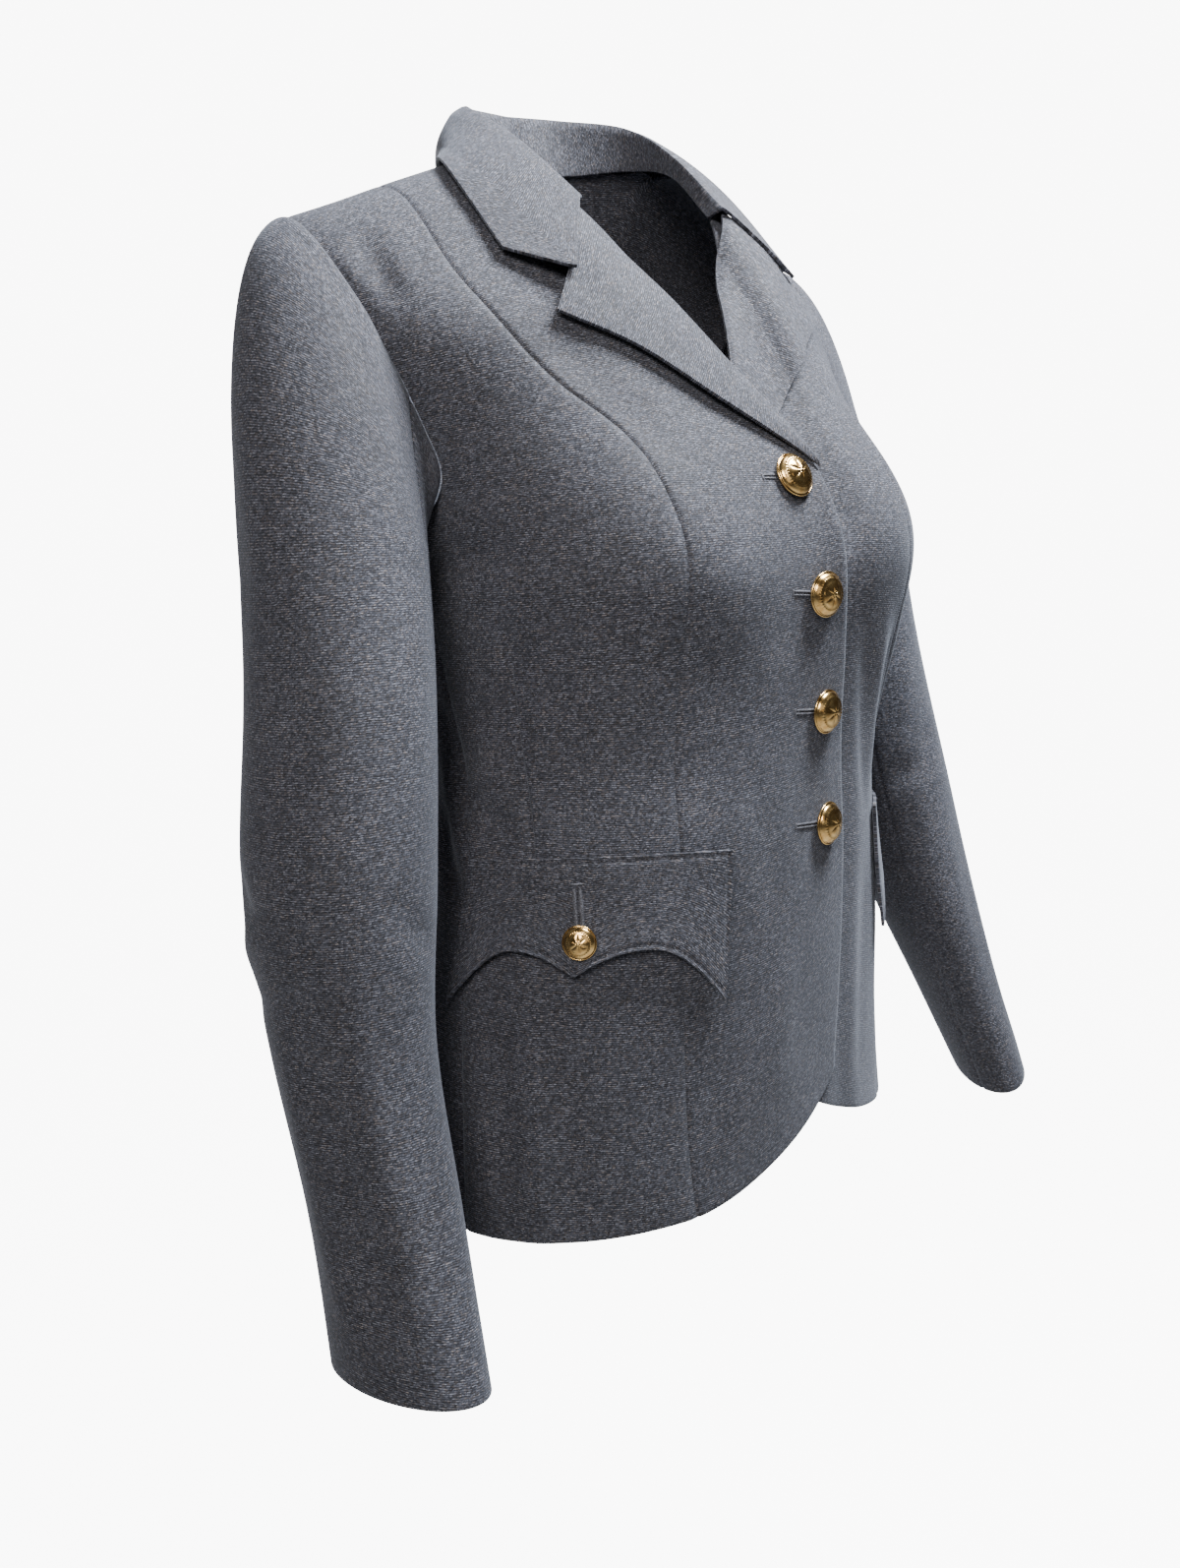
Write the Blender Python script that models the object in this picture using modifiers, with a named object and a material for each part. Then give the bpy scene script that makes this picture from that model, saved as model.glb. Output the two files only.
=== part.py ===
"""Women's military uniform jacket, cut and sewn from wool cloth, in the hollow form in which it is worn.

Metres, +Z up.  The origin is between the shoulders at the base of the neck, +X is the wearer's left
and -Y the front.  Every panel is a patch of one garment form, given a wall of cloth by Solidify.
"""

import math

import bpy
import numpy as np
from mathutils import Vector

# Driving sizes

CLOTH = 0.0020              # wall of the made-up cloth
SEAM = 0.00070              # clearance between two sewn pieces
LIFT = 0.0006               # clearance under a piece that lies on a panel
HEM_Z = -0.650              # lower edge of the jacket
UNDERARM_Z = -0.232         # lowest point of the armhole
NECK_X = 0.078              # where the shoulder seam meets the neck
NECK_Z = -0.026             # height of the shoulder seam at the neck
NECK_SLOPE = 0.90           # rise of the form inside the neck for each metre inwards
BACK_NECK_RISE = 0.016      # height of the back neckline above the ends of the shoulder seams
SHOULDER_SLOPE = 0.330      # fall of the shoulder seam for each metre outwards
SHOULDER_PARTING = 0.0007   # half the parting of the outer faces at the shoulder seam
SHOULDER_ARCH = 0.105       # depth below the seam at which the shoulder reaches the full chest
BUST_X = 0.088              # middle of the bust from the centre, its height, and how far it stands out
BUST_Z = -0.276
BUST_RISE = 0.011
BUST_WIDTH = 0.050
BUST_HEIGHT = 0.062
BODY_RADIUS = 0.150         # turns a width along the cloth of the body or an arm into an angle
ARM_RADIUS = 0.045

# The garment form: half width, the depths at centre front, side and centre back, and how square it is
FORM_COLUMNS = ("z", "half_width", "front", "side", "back", "square_front", "square_back")
FORM_ROWS = (
    (-0.670, 0.186, -0.106, 0.016, 0.122, 2.20, 2.20),
    (-0.590, 0.180, -0.112, 0.015, 0.119, 2.20, 2.30),
    (-0.520, 0.172, -0.117, 0.014, 0.110, 2.30, 2.40),
    (-0.450, 0.161, -0.122, 0.010, 0.095, 2.45, 2.60),
    (-0.395, 0.154, -0.127, 0.008, 0.084, 2.50, 2.70),
    (-0.335, 0.157, -0.136, 0.008, 0.088, 2.60, 2.70),
    (-0.290, 0.160, -0.141, 0.008, 0.092, 2.60, 2.50),
    (-0.240, 0.161, -0.131, 0.010, 0.096, 2.60, 2.40),
    (-0.190, 0.170, -0.110, 0.012, 0.098, 2.55, 2.50),
    (-0.140, 0.190, -0.087, 0.014, 0.098, 2.50, 2.60),
    (-0.100, 0.204, -0.064, 0.016, 0.092, 2.50, 2.60),
    (-0.060, 0.210, -0.052, 0.018, 0.084, 2.50, 2.60),
    (0.000, 0.212, -0.046, 0.020, 0.078, 2.50, 2.60),
)

# The stance: below the chest the body twists about the centre front, and the right hip is raised and swayed
TWIST_TOP_Z = -0.300
TWIST_LOW_Z = -0.450
TWIST = math.radians(11)
TWIST_Y = -0.125          # depth of the upright axis of the twist
SWAY_TOP_Z = -0.430
SWAY_LOW_Z = -0.650
SWAY = -0.018
HIP_TILT = 0.090          # rise of the right hip for each metre from the centre

# The wearer's left side above the waist: its shoulder is set back and down, its breast is fuller
SET_BACK_X = (0.070, 0.185)           # the shift starts at the first and is full at the second
SET_BACK_Z = (-0.300, -0.170)
SET_BACK = (-0.004, 0.016, -0.011)
LEFT_BREAST_X = 0.105
LEFT_BREAST_Z = -0.262
LEFT_BREAST_SIZE = 0.050
LEFT_BREAST = (0.0035, -0.0040, 0.0)

# Seam lines on the right half: height, then distance from the centre
PRINCESS = ((-0.660, 0.105), (-0.558, 0.107), (-0.440, 0.106), (-0.400, 0.102), (-0.340, 0.095),
            (-0.294, 0.090), (-0.254, 0.087), (-0.208, 0.093), (-0.172, 0.117), (-0.120, 0.138),
            (-0.050, 0.140))
ARMHOLE_FRONT = ((-0.232, 0.1616), (-0.210, 0.1612), (-0.188, 0.1655), (-0.168, 0.1715), (-0.148, 0.1780),
                 (-0.126, 0.1835), (-0.104, 0.1890), (-0.084, 0.1935), (-0.064, 0.1985))
ARMHOLE_BACK = ((-0.232, 0.1616), (-0.210, 0.1590), (-0.188, 0.1610), (-0.148, 0.1690), (-0.104, 0.1800),
                (-0.084, 0.1890), (-0.064, 0.1985))
FRONT_EDGE = ((-0.600, -0.0200), (-0.548, -0.0260), (-0.464, -0.0300), (-0.366, -0.0300), (-0.264, -0.0265),
              (-0.226, -0.0240), (-0.172, 0.0030), (-0.125, 0.0260), (-0.086, 0.0480), (-0.060, 0.0620),
              (-0.040, 0.0730), (-0.020, 0.0780))


# Tables

def smooth(keys, values, at):
    """Value of a table at each place: a cubic through its rows, with the slope between their neighbours."""
    keys = np.asarray(keys, float)
    values = np.asarray(values, float)
    at = np.clip(np.asarray(at, float), keys[0], keys[-1])
    slopes = np.gradient(values, keys)
    row = np.clip(np.searchsorted(keys, at) - 1, 0, len(keys) - 2)
    step = keys[row + 1] - keys[row]
    u = (at - keys[row]) / step
    start = (1 + 2 * u) * (1 - u) ** 2 * values[row]
    end = u ** 2 * (3 - 2 * u) * values[row + 1]
    return start + end + step * (u * (1 - u) ** 2 * slopes[row] - u ** 2 * (1 - u) * slopes[row + 1])


def form_size(column, z):
    """One column of the garment form at each height."""
    place = FORM_COLUMNS.index(column)
    return smooth([row[0] for row in FORM_ROWS], [row[place] for row in FORM_ROWS], z)


def seam_x(rows, z):
    """Distance of a seam line from the centre at each height."""
    return smooth([row[0] for row in rows], [row[1] for row in rows], z)


# The garment form

def shoulder_z(x):
    """Height of the shoulder seam: a straight slope outside the neck, and a steeper one inside it."""
    outward = np.abs(x) - NECK_X
    return NECK_Z - np.where(outward > 0, SHOULDER_SLOPE, NECK_SLOPE) * outward


def back_top_z(x):
    """Top edge of the back: the neckline, then the shoulder seam."""
    inside = np.clip(1 - (np.abs(x) / NECK_X) ** 2, 0, 1)
    return np.where(np.abs(x) < NECK_X, NECK_Z + BACK_NECK_RISE * np.sqrt(inside), shoulder_z(x))


def form_x(turn, z):
    """Distance from the centre of the point that lies turn radians round from the centre front."""
    front = np.cos(turn) >= 0
    power = 2 / np.where(front, form_size("square_front", z), form_size("square_back", z))
    return form_size("half_width", z) * np.sign(np.sin(turn)) * np.abs(np.sin(turn)) ** power


def turn_at(x, z, back=False):
    """How far round from the centre front the form has the distance x from the centre."""
    square = form_size("square_back" if back else "square_front", z)
    share = np.clip(np.abs(x) / form_size("half_width", z), 0, 1)
    turn = np.arcsin(share ** (square / 2)) * np.sign(x)
    return math.pi - turn if back else turn


def form_point(turn, z):
    """Point of the right half of the form, an uneven oval that closes in an arch at the shoulder seam."""
    turn, z = np.broadcast_arrays(turn, z)
    x = form_x(turn, z)
    front = np.cos(turn) >= 0
    power = 2 / np.where(front, form_size("square_front", z), form_size("square_back", z))
    side = form_size("side", z)
    depth = np.where(front, form_size("front", z) - side, form_size("back", z) - side)
    below = np.clip((shoulder_z(x) - z) / SHOULDER_ARCH, 0, 1)
    arch = np.sqrt(1 - (1 - below) ** 2)
    across = (np.abs(x) - BUST_X) / BUST_WIDTH
    along = (z - BUST_Z) / BUST_HEIGHT
    bust = np.where(front, BUST_RISE * np.exp(-across ** 2 - along ** 2), 0)
    y = side + depth * np.abs(np.cos(turn)) ** power * arch - bust
    return np.stack([-x, y, z], -1)


def eased(share):
    """A share kept between 0 and 1, eased at both ends."""
    share = np.clip(share, 0, 1)
    return share * share * (3 - 2 * share)


def stance(points):
    """Points of the body set in the stance: twisted, tilted and swayed below the chest."""
    x, y, z = points[..., 0], points[..., 1] - TWIST_Y, points[..., 2]
    share = eased((TWIST_TOP_Z - z) / (TWIST_TOP_Z - TWIST_LOW_Z))
    sway = SWAY * eased((SWAY_TOP_Z - z) / (SWAY_TOP_Z - SWAY_LOW_Z))
    turned_x = x * np.cos(TWIST * share) - y * np.sin(TWIST * share) + sway
    turned_y = x * np.sin(TWIST * share) + y * np.cos(TWIST * share) + TWIST_Y
    return np.stack([turned_x, turned_y, z - HIP_TILT * share * turned_x], -1)


def settled(points):
    """Points with the wearer's left shoulder set back and down, and the left breast pushed out."""
    x, z = points[..., 0], points[..., 2]
    across = eased((x - SET_BACK_X[0]) / (SET_BACK_X[1] - SET_BACK_X[0]))
    upper = eased((z - SET_BACK_Z[0]) / (SET_BACK_Z[1] - SET_BACK_Z[0]))
    away = ((x - LEFT_BREAST_X) ** 2 + (z - LEFT_BREAST_Z) ** 2) / LEFT_BREAST_SIZE ** 2
    front = points[..., 1] < 0
    shift = (across * upper)[..., None] * np.array(SET_BACK)
    return points + shift + (front * np.exp(-away))[..., None] * np.array(LEFT_BREAST)


def level_z(row, x, hem, top=shoulder_z):
    """Height of a row of a panel: 0 at the hem, 1 level with the underarm, 2 at the top edge."""
    low = hem(x) + (UNDERARM_Z - hem(x)) * np.clip(row, 0, 1)
    high = UNDERARM_Z + (top(x) - UNDERARM_Z) * np.sin(np.clip(row - 1, 0, 1) * math.pi / 2)
    return np.where(row < 1, low, high)


def flat_hem(x):
    """The level hem of the back and of the side fronts."""
    return HEM_Z + 0 * np.asarray(x)


CUTAWAY_START = 0.106     # distance from the centre where the hem of the front starts to rise
CUTAWAY_END = -0.0200     # and where it meets the front edge
CUTAWAY_RISE = 0.054
CUTAWAY_POWER = 1.4


def cutaway_hem(x):
    """Hem of a front: level at the princess seam, then rising in a round to the front edge."""
    share = np.clip((CUTAWAY_START - np.asarray(x)) / (CUTAWAY_START - CUTAWAY_END), 0, 1)
    return HEM_Z + CUTAWAY_RISE * (1 - (1 - share ** CUTAWAY_POWER) ** (1 / CUTAWAY_POWER))


def edge_turn(rows, seam, hem, back=False):
    """Turn of a seam line where it crosses each row of a panel."""
    z = level_z(rows, np.full(rows.shape, seam[-1][1]), hem)
    for _ in range(24):
        x = seam_x(seam, z)
        z = (z + level_z(rows, x, hem)) / 2
    return turn_at(x, z, back)


def patch(inner, outer, rows, share, hem, top=shoulder_z):
    """Points of a panel between two edges, given by their turns on each row."""
    turn = inner[:, None] + (outer - inner)[:, None] * share[None, :]
    level = np.broadcast_to(rows[:, None], turn.shape)
    z = level_z(level, np.full(turn.shape, 0.1), hem, top)
    for _ in range(16):
        z = level_z(level, form_x(turn, z), hem, top)
    points = form_point(turn, z)
    parting = SHOULDER_PARTING * np.clip(level - 1, 0, 1) ** 4
    points[..., 1] += np.where(np.cos(turn) >= 0, -parting, parting)
    return points


# Scene, materials and meshes

def start_scene():
    """Clear the scene and return the collection that holds the jacket."""
    for thing in list(bpy.data.objects):
        bpy.data.objects.remove(thing)
    jacket = bpy.data.collections.new("uniform_jacket")
    bpy.context.scene.collection.children.link(jacket)
    return jacket


JACKET = start_scene()


def material(name, colour, roughness, metallic=0.0):
    """A Principled material in one colour."""
    made = bpy.data.materials.new(name)
    made.use_nodes = True
    shader = made.node_tree.nodes["Principled BSDF"]
    shader.inputs["Base Color"].default_value = (*colour, 1.0)
    shader.inputs["Roughness"].default_value = roughness
    shader.inputs["Metallic"].default_value = metallic
    return made


WOOL = {"roughness": 0.85, "colour": (0.075, 0.095, 0.135)}
GILT = {"roughness": 0.25, "colour": (0.85, 0.58, 0.20), "metallic": 1.0}


def add_object(name, mesh, finish):
    """Put a mesh in the jacket's collection with a material of its own."""
    mesh.materials.append(material(name, **finish))
    piece = bpy.data.objects.new(name, mesh)
    JACKET.objects.link(piece)
    return piece


def mirrored(points, left):
    """The same points on the wearer's left, with the rows turned round so that faces still point out."""
    if not left:
        return points
    return (points * np.array([-1, 1, 1]))[:, ::-1]


def sheet_mesh(name, points):
    """A grid of points as one open surface."""
    rows, columns = points.shape[:2]
    index = np.arange(rows * columns).reshape(rows, columns)
    corners = (index[:-1, :-1], index[1:, :-1], index[1:, 1:], index[:-1, 1:])
    faces = np.stack(corners, -1).reshape(-1, 4)
    mesh = bpy.data.meshes.new(name)
    mesh.from_pydata(points.reshape(-1, 3).tolist(), [], faces.tolist())
    mesh.shade_smooth()
    return mesh


def cloth(name, points):
    """A cloth piece: its outer surface, thickened inwards."""
    piece = add_object(name, sheet_mesh(name, settled(points)), WOOL)
    shell = piece.modifiers.new("wall", "SOLIDIFY")
    shell.thickness = CLOTH
    shell.offset = -1
    return piece


def normals(points):
    """Unit normals of a grid, from the difference between each point's neighbours."""
    normal = np.cross(np.gradient(points, axis=0), np.gradient(points, axis=1))
    return normal / np.linalg.norm(normal, axis=-1, keepdims=True)


# Fronts, side fronts and backs

PANEL_ROWS = np.concatenate([np.linspace(0, 1, 13), 1 + np.linspace(0, 1, 9)[1:]])


def front_edge_turn(rows):
    """The inner edge of a front: the straight front edge, then the roll line up to the neck."""
    return edge_turn(rows, FRONT_EDGE, cutaway_hem)


def inset(turn, amount):
    """An edge of a panel moved along the cloth by half a seam's clearance."""
    return turn + amount / BODY_RADIUS


def shares(count, power=1.0, edge=0.012):
    """Shares from 0 to 1 across a panel, with one narrow strip along each edge."""
    inner = edge + (1 - 2 * edge) * np.linspace(0, 1, count) ** power
    return np.concatenate([[0.0], inner, [1.0]])


def armhole_turn(rows, seam, back):
    """The side seam up to the underarm, then the armhole up to the shoulder."""
    turn = edge_turn(rows, seam, flat_hem, back)
    return np.where(rows <= 1, math.pi / 2, turn)


def panel_points(kind):
    """Outer points of one right-hand body panel, with its seams' clearances."""
    gap = SEAM / 2
    if kind == "front":
        inner = front_edge_turn(PANEL_ROWS)
        outer = inset(edge_turn(PANEL_ROWS, PRINCESS, cutaway_hem), -gap)
        return patch(inner, outer, PANEL_ROWS, shares(9, 1.25), cutaway_hem)
    if kind == "side_front":
        inner = inset(edge_turn(PANEL_ROWS, PRINCESS, flat_hem), gap)
        outer = inset(armhole_turn(PANEL_ROWS, ARMHOLE_FRONT, False), -gap)
        return patch(inner, outer, PANEL_ROWS, shares(8), flat_hem)
    inner = inset(armhole_turn(PANEL_ROWS, ARMHOLE_BACK, True), gap)
    outer = inset(np.full(PANEL_ROWS.shape, math.pi), -gap)
    return patch(inner, outer, PANEL_ROWS, shares(9), flat_hem, back_top_z)


# The left front is tucked behind the right one near the centre, and further where the lapels lap too
UNDERLAP = 0.0034
LAPEL_UNDERLAP = 0.0040
TUCK_X = 0.054
TUCK_RAMP = 0.025
LAPEL_TUCK_Z = -0.290
LAPEL_TUCK_RAMP = 0.030


def tuck_depth(x, z):
    """How far the left front is set back behind the right one, more deeply under the lapel."""
    near = np.clip((TUCK_X - x) / TUCK_RAMP, 0, 1)
    under_lapel = np.clip((z - LAPEL_TUCK_Z) / LAPEL_TUCK_RAMP, 0, 1)
    return near * (UNDERLAP + LAPEL_UNDERLAP * under_lapel)


def build_body():
    """The six panels of the body, each the mirror of the other side's."""
    for side, left in (("right", False), ("left", True)):
        for kind in ("front", "side_front", "back"):
            points = panel_points(kind)
            if left and kind == "front":
                depth = tuck_depth(-points[..., 0], points[..., 2])
                points = points - normals(points) * depth[..., None]
            cloth(f"{kind}_{side}", stance(mirrored(points, left)))


# Lapels: the turned-out upper fronts, folded along the roll line

LAPEL_COLUMNS = ("along", "roll_x", "roll_z", "edge_x", "edge_z", "roll_lift", "edge_lift")
LAPEL_ROWS = (
    (0.00, -0.0255, -0.2330, -0.0255, -0.2390, 0.0027, 0.0028),
    (0.10, -0.0215, -0.2200, -0.0170, -0.2300, 0.0027, 0.0034),
    (0.35, 0.0040, -0.1720, 0.0260, -0.1990, 0.0030, 0.0060),
    (0.70, 0.0300, -0.1200, 0.0680, -0.1640, 0.0040, 0.0065),
    (1.00, 0.0560, -0.0760, 0.1040, -0.1440, 0.0070, 0.0060),
)
LAPEL_TOP = ((0.00, 0.0560, -0.0760), (0.70, 0.0835, -0.1175), (1.00, 0.1035, -0.1410))
LAPEL_BELLY = 0.0015      # how far the middle of a lapel stands out between its roll and its edge
LEFT_LAPEL_CLOSE_X = 0.064
LEFT_LAPEL_RAMP = 0.022   # the left lapel lies flat on its front from here to the centre, where it is lapped
LEFT_LAPEL_SLACK = 0.0100


def lapel_size(column, along):
    """One column of the lapel's table."""
    place = LAPEL_COLUMNS.index(column)
    return smooth([row[0] for row in LAPEL_ROWS], [row[place] for row in LAPEL_ROWS], along)


def front_place(x, z):
    """Point of the form's front at a distance from the centre and a height."""
    return form_point(turn_at(x, z), z)


def lapel_points(left):
    """A lapel: straight lines from the roll line to its edge, drawn up to the gorge and the notch."""
    along = np.linspace(0, 1, 13)[:, None]
    share = np.linspace(0, 1, 9)[None, :]
    top_x = np.interp(share, [row[0] for row in LAPEL_TOP], [row[1] for row in LAPEL_TOP])
    top_z = np.interp(share, [row[0] for row in LAPEL_TOP], [row[2] for row in LAPEL_TOP])
    corner = lapel_size("edge_x", 1.0), lapel_size("edge_z", 1.0)
    start = lapel_size("roll_x", 1.0), lapel_size("roll_z", 1.0)
    pull = along ** 4
    x = lapel_size("roll_x", along) * (1 - share) + lapel_size("edge_x", along) * share
    z = lapel_size("roll_z", along) * (1 - share) + lapel_size("edge_z", along) * share
    x = x + pull * (top_x - start[0] * (1 - share) - corner[0] * share)
    z = z + pull * (top_z - start[1] * (1 - share) - corner[1] * share)
    lift = lapel_size("roll_lift", along) * (1 - share) + lapel_size("edge_lift", along) * share
    lift = lift + LAPEL_BELLY * np.sin(math.pi * share)
    points = front_place(x, z)
    out = normals(points)
    if left:
        close = np.clip((LEFT_LAPEL_CLOSE_X - x) / LEFT_LAPEL_RAMP, 0, 1)
        slack = LEFT_LAPEL_SLACK * close * (1 - close)
        lift = lift * (1 - close) + (CLOTH + 3 * LIFT) * close + slack - tuck_depth(x, z)
    return points + out * lift[..., None]


def build_lapels():
    """Both lapels."""
    cloth("lapel_right", lapel_points(False))
    cloth("lapel_left", mirrored(lapel_points(True), True))


# Collar: a stand that rises from the neck seam and a fall that turns down over it

COLLAR_COLUMNS = ("along", "seam_x", "seam_y", "seam_z", "roll_x", "roll_y", "roll_z",
                  "edge_x", "edge_y", "edge_z")
COLLAR_ROWS = (
    (0.00, 0.000, 0.0670, -0.0070, 0.000, 0.0680, 0.0230, 0.000, 0.1010, -0.0240),
    (0.25, 0.036, 0.0560, -0.0080, 0.034, 0.0580, 0.0200, 0.045, 0.0850, -0.0240),
    (0.50, 0.064, 0.0250, -0.0140, 0.062, 0.0240, 0.0050, 0.078, 0.0400, -0.0220),
    (0.75, 0.064, -0.0120, -0.0360, 0.062, -0.0160, -0.0260, 0.110, -0.0120, -0.0440),
    (1.00, 0.054, -0.0480, -0.0740, 0.0560, -0.0580, -0.0720, 0.1135, -0.0560, -0.1010),
)
COLLAR_APEX = (0.0840, -0.0800, -0.1160)
COLLAR_APEX_SHARE = 0.70  # of the way down the fall's front edge
COLLAR_FOLD = 0.0050      # roundness of the fold between stand and fall
COLLAR_BELLY = 0.0055     # how far the fall stands out between its fold and its edge
COLLAR_AXIS_Y = 0.020     # depth of the upright line that the collar faces away from


def collar_guide(kind, along):
    """Points of one of the collar's guide curves: seam, roll or edge."""
    keys = [row[0] for row in COLLAR_ROWS]
    columns = [COLLAR_COLUMNS.index(f"{kind}_{axis}") for axis in "xyz"]
    values = [smooth(keys, [row[place] for row in COLLAR_ROWS], along) for place in columns]
    return np.stack(values, -1)


def collar_points():
    """The right half of the collar, from the centre back to the gorge, and then the whole by mirroring."""
    along = np.linspace(0, 1, 15)
    seam, roll, edge = (collar_guide(kind, along)[:, None, :] for kind in ("seam", "roll", "edge"))
    stand = np.linspace(0, 1, 4)[None, :, None]
    fall = np.linspace(0, 1, 9)[None, 1:, None]
    outward = (roll + edge) / 2 - np.array([0.0, COLLAR_AXIS_Y, 0.0])
    outward = outward / np.linalg.norm(outward, axis=-1, keepdims=True)
    inner = seam + (roll - seam) * stand
    start = roll + outward * COLLAR_FOLD * np.sin(np.clip(fall / 0.12, 0, 1) * math.pi / 2)
    belly = outward * COLLAR_BELLY * np.sin(math.pi * fall)
    corner = np.interp(fall, [0, COLLAR_APEX_SHARE, 1], [0, 1, 0])
    dip = np.array(COLLAR_APEX) - (roll[-1] + (edge[-1] - roll[-1]) * COLLAR_APEX_SHARE)
    pull = (along ** 6)[:, None, None]
    outer = start + (edge - start) * fall + belly + pull * corner * dip
    half = np.concatenate([inner, outer], 1) * np.array([-1, 1, 1])
    other = half[:0:-1] * np.array([-1, 1, 1])
    return np.concatenate([other, half], 0)


# Sleeves: an upper and an under sleeve, joined by a front and a back seam

SLEEVE_COLUMNS = ("z", "centre_x", "centre_y", "radius_x", "radius_y", "twist_degrees")
SLEEVE_ROWS = {
    "right": (
        (-0.7000, 0.292, -0.056, 0.0280, 0.0500, 18),
        (-0.5900, 0.276, -0.032, 0.0330, 0.0490, 14),
        (-0.5000, 0.267, -0.015, 0.0400, 0.0510, 10),
        (-0.4200, 0.2545, -0.009, 0.0490, 0.0595, 5),
        (-0.3070, 0.2290, -0.005, 0.0490, 0.0600, 0),
        (-0.2450, 0.217, -0.001, 0.0490, 0.0560, 0),
    ),
    "left": (
        (-0.7300, 0.281, -0.018, 0.0230, 0.0490, 34),
        (-0.6500, 0.267, -0.005, 0.0290, 0.0490, 28),
        (-0.5700, 0.251, 0.006, 0.0360, 0.0500, 20),
        (-0.4700, 0.237, 0.018, 0.0430, 0.0530, 10),
        (-0.3500, 0.225, 0.030, 0.0480, 0.0560, 0),
        (-0.2450, 0.215, 0.026, 0.0480, 0.0560, 0),
    ),
}
CUFF_Z = {"right": -0.672, "left": -0.721}
CUFF_RISE = 0.25          # the cuff is cut higher at its outer side: rise for each metre outwards
CUFF_RAMP = 0.12          # height over which the rings tilt towards it
BICEPS_Z = -0.250
HEAD_PARTING = 0.0007     # parting between a sleeve and the armhole's edge at the shoulder
UNDERARM_PARTING = 0.0022 # and how much more it is at the underarm
HEAD_REACH = 0.040        # how far the sleeve head runs outwards before it turns down
UNDERARM_REACH = 0.006
FRONT_SEAM = math.radians(140)
BACK_SEAM = math.radians(292)


def sleeve_size(rows, column, z):
    """One column of a sleeve's table."""
    place = SLEEVE_COLUMNS.index(column)
    return smooth([row[0] for row in rows], [row[place] for row in rows], z)


def armhole(turn):
    """Points of the armhole: turn 0 at the shoulder, a quarter at the front, half at the underarm."""
    row = 2 - np.minimum(turn, 2 * math.pi - turn) / math.pi
    points = np.empty(turn.shape + (3,))
    for seam, back in ((ARMHOLE_FRONT, False), (ARMHOLE_BACK, True)):
        here = (turn > math.pi) == back
        z = level_z(row, np.full(row.shape, 0.18), flat_hem)
        for _ in range(24):
            x = seam_x(seam, z)
            z = (z + level_z(row, x, flat_hem)) / 2
        points[here] = form_point(turn_at(x, z, back), z)[here]
    return points


def arm_ring(rows, turn, z, cuff_z):
    """An oval ring of the sleeve round the arm, level above and tilted at the cuff."""
    twist = np.radians(sleeve_size(rows, "twist_degrees", z))
    wide = sleeve_size(rows, "radius_x", z) * np.cos(turn)
    deep = -sleeve_size(rows, "radius_y", z) * np.sin(turn)
    across = wide * np.cos(twist) + deep * np.sin(twist)
    backward = deep * np.cos(twist) - wide * np.sin(twist)
    low = eased(1 - (z - cuff_z) / CUFF_RAMP)
    x = -(sleeve_size(rows, "centre_x", z) + across)
    y = sleeve_size(rows, "centre_y", z) + backward
    return np.stack([x, y, z + low * CUFF_RISE * across], -1)


def sleeve_points(rows, turn, cuff_z):
    """Columns of a sleeve: a curve from the armhole out over the head, then level rings to the cuff."""
    hole = armhole(turn)
    biceps = arm_ring(rows, turn, np.full(turn.shape, BICEPS_Z), cuff_z)
    over = (1 + np.cos(turn)) / 2
    reach = UNDERARM_REACH + (HEAD_REACH - UNDERARM_REACH) * over ** 0.8
    outward = np.stack([-0.35 - 0.65 * over, -0.62 * np.sin(turn), 0.10 * over - 0.4 * (1 - over)], -1)
    outward = outward / np.linalg.norm(outward, axis=-1, keepdims=True)
    start = hole + outward * (HEAD_PARTING + UNDERARM_PARTING * (1 - over))[:, None]
    control = hole + outward * reach[:, None]
    head = np.linspace(0, 1, 9)[:, None, None] ** 0.9
    cap = (1 - head) ** 2 * start + 2 * head * (1 - head) * control + head ** 2 * biceps
    heights = np.linspace(BICEPS_Z, cuff_z, 12)[1:]
    arm = np.stack([arm_ring(rows, turn, np.full(turn.shape, z), cuff_z) for z in heights])
    return np.concatenate([cap, arm])[::-1]


def build_sleeves():
    """Two-piece sleeves on both sides."""
    gap = SEAM / 2 / ARM_RADIUS
    start, end = BACK_SEAM - 2 * math.pi + gap, FRONT_SEAM - gap
    upper = (start + (end - start) * shares(14)) % (2 * math.pi)
    start, end = FRONT_SEAM + gap, BACK_SEAM - gap
    under = start + (end - start) * shares(10)
    for side, left in (("right", False), ("left", True)):
        for kind, turn in (("top_sleeve", upper), ("under_sleeve", under)):
            points = sleeve_points(SLEEVE_ROWS[side], turn, CUFF_Z[side])[:, ::-1]
            cloth(f"{kind}_{side}", mirrored(points, left))


# Pocket flaps, with two arches and a point along the lower edge

FLAP_TOP_Z = -0.4425
FLAP_CROWN = 0.0030       # how much the middle of the upper edge is higher than its ends
FLAP_RISE = 0.0040        # and its side end than its front end
FLAP_FRONT_X = 0.079      # front end of the flap's upper edge, from the centre
FLAP_FRONT_SLANT = 0.006  # and how much further out its lower corner lies
FLAP_SIDE_TURN = math.radians(89)
FLAP_SIDE_FLARE = math.radians(3)
FLAP_LEAN = 0.13          # shift of the flap's middle towards the side, as a share of its width
FLAP_DEPTH = {"corner": 0.082, "arch": 0.050, "point": 0.064}
ARCH_PLACE = 0.50         # of the way from the middle to the end
FLAP_FLY = 0.0022         # how far the flap's lower edge stands off the cloth


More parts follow.
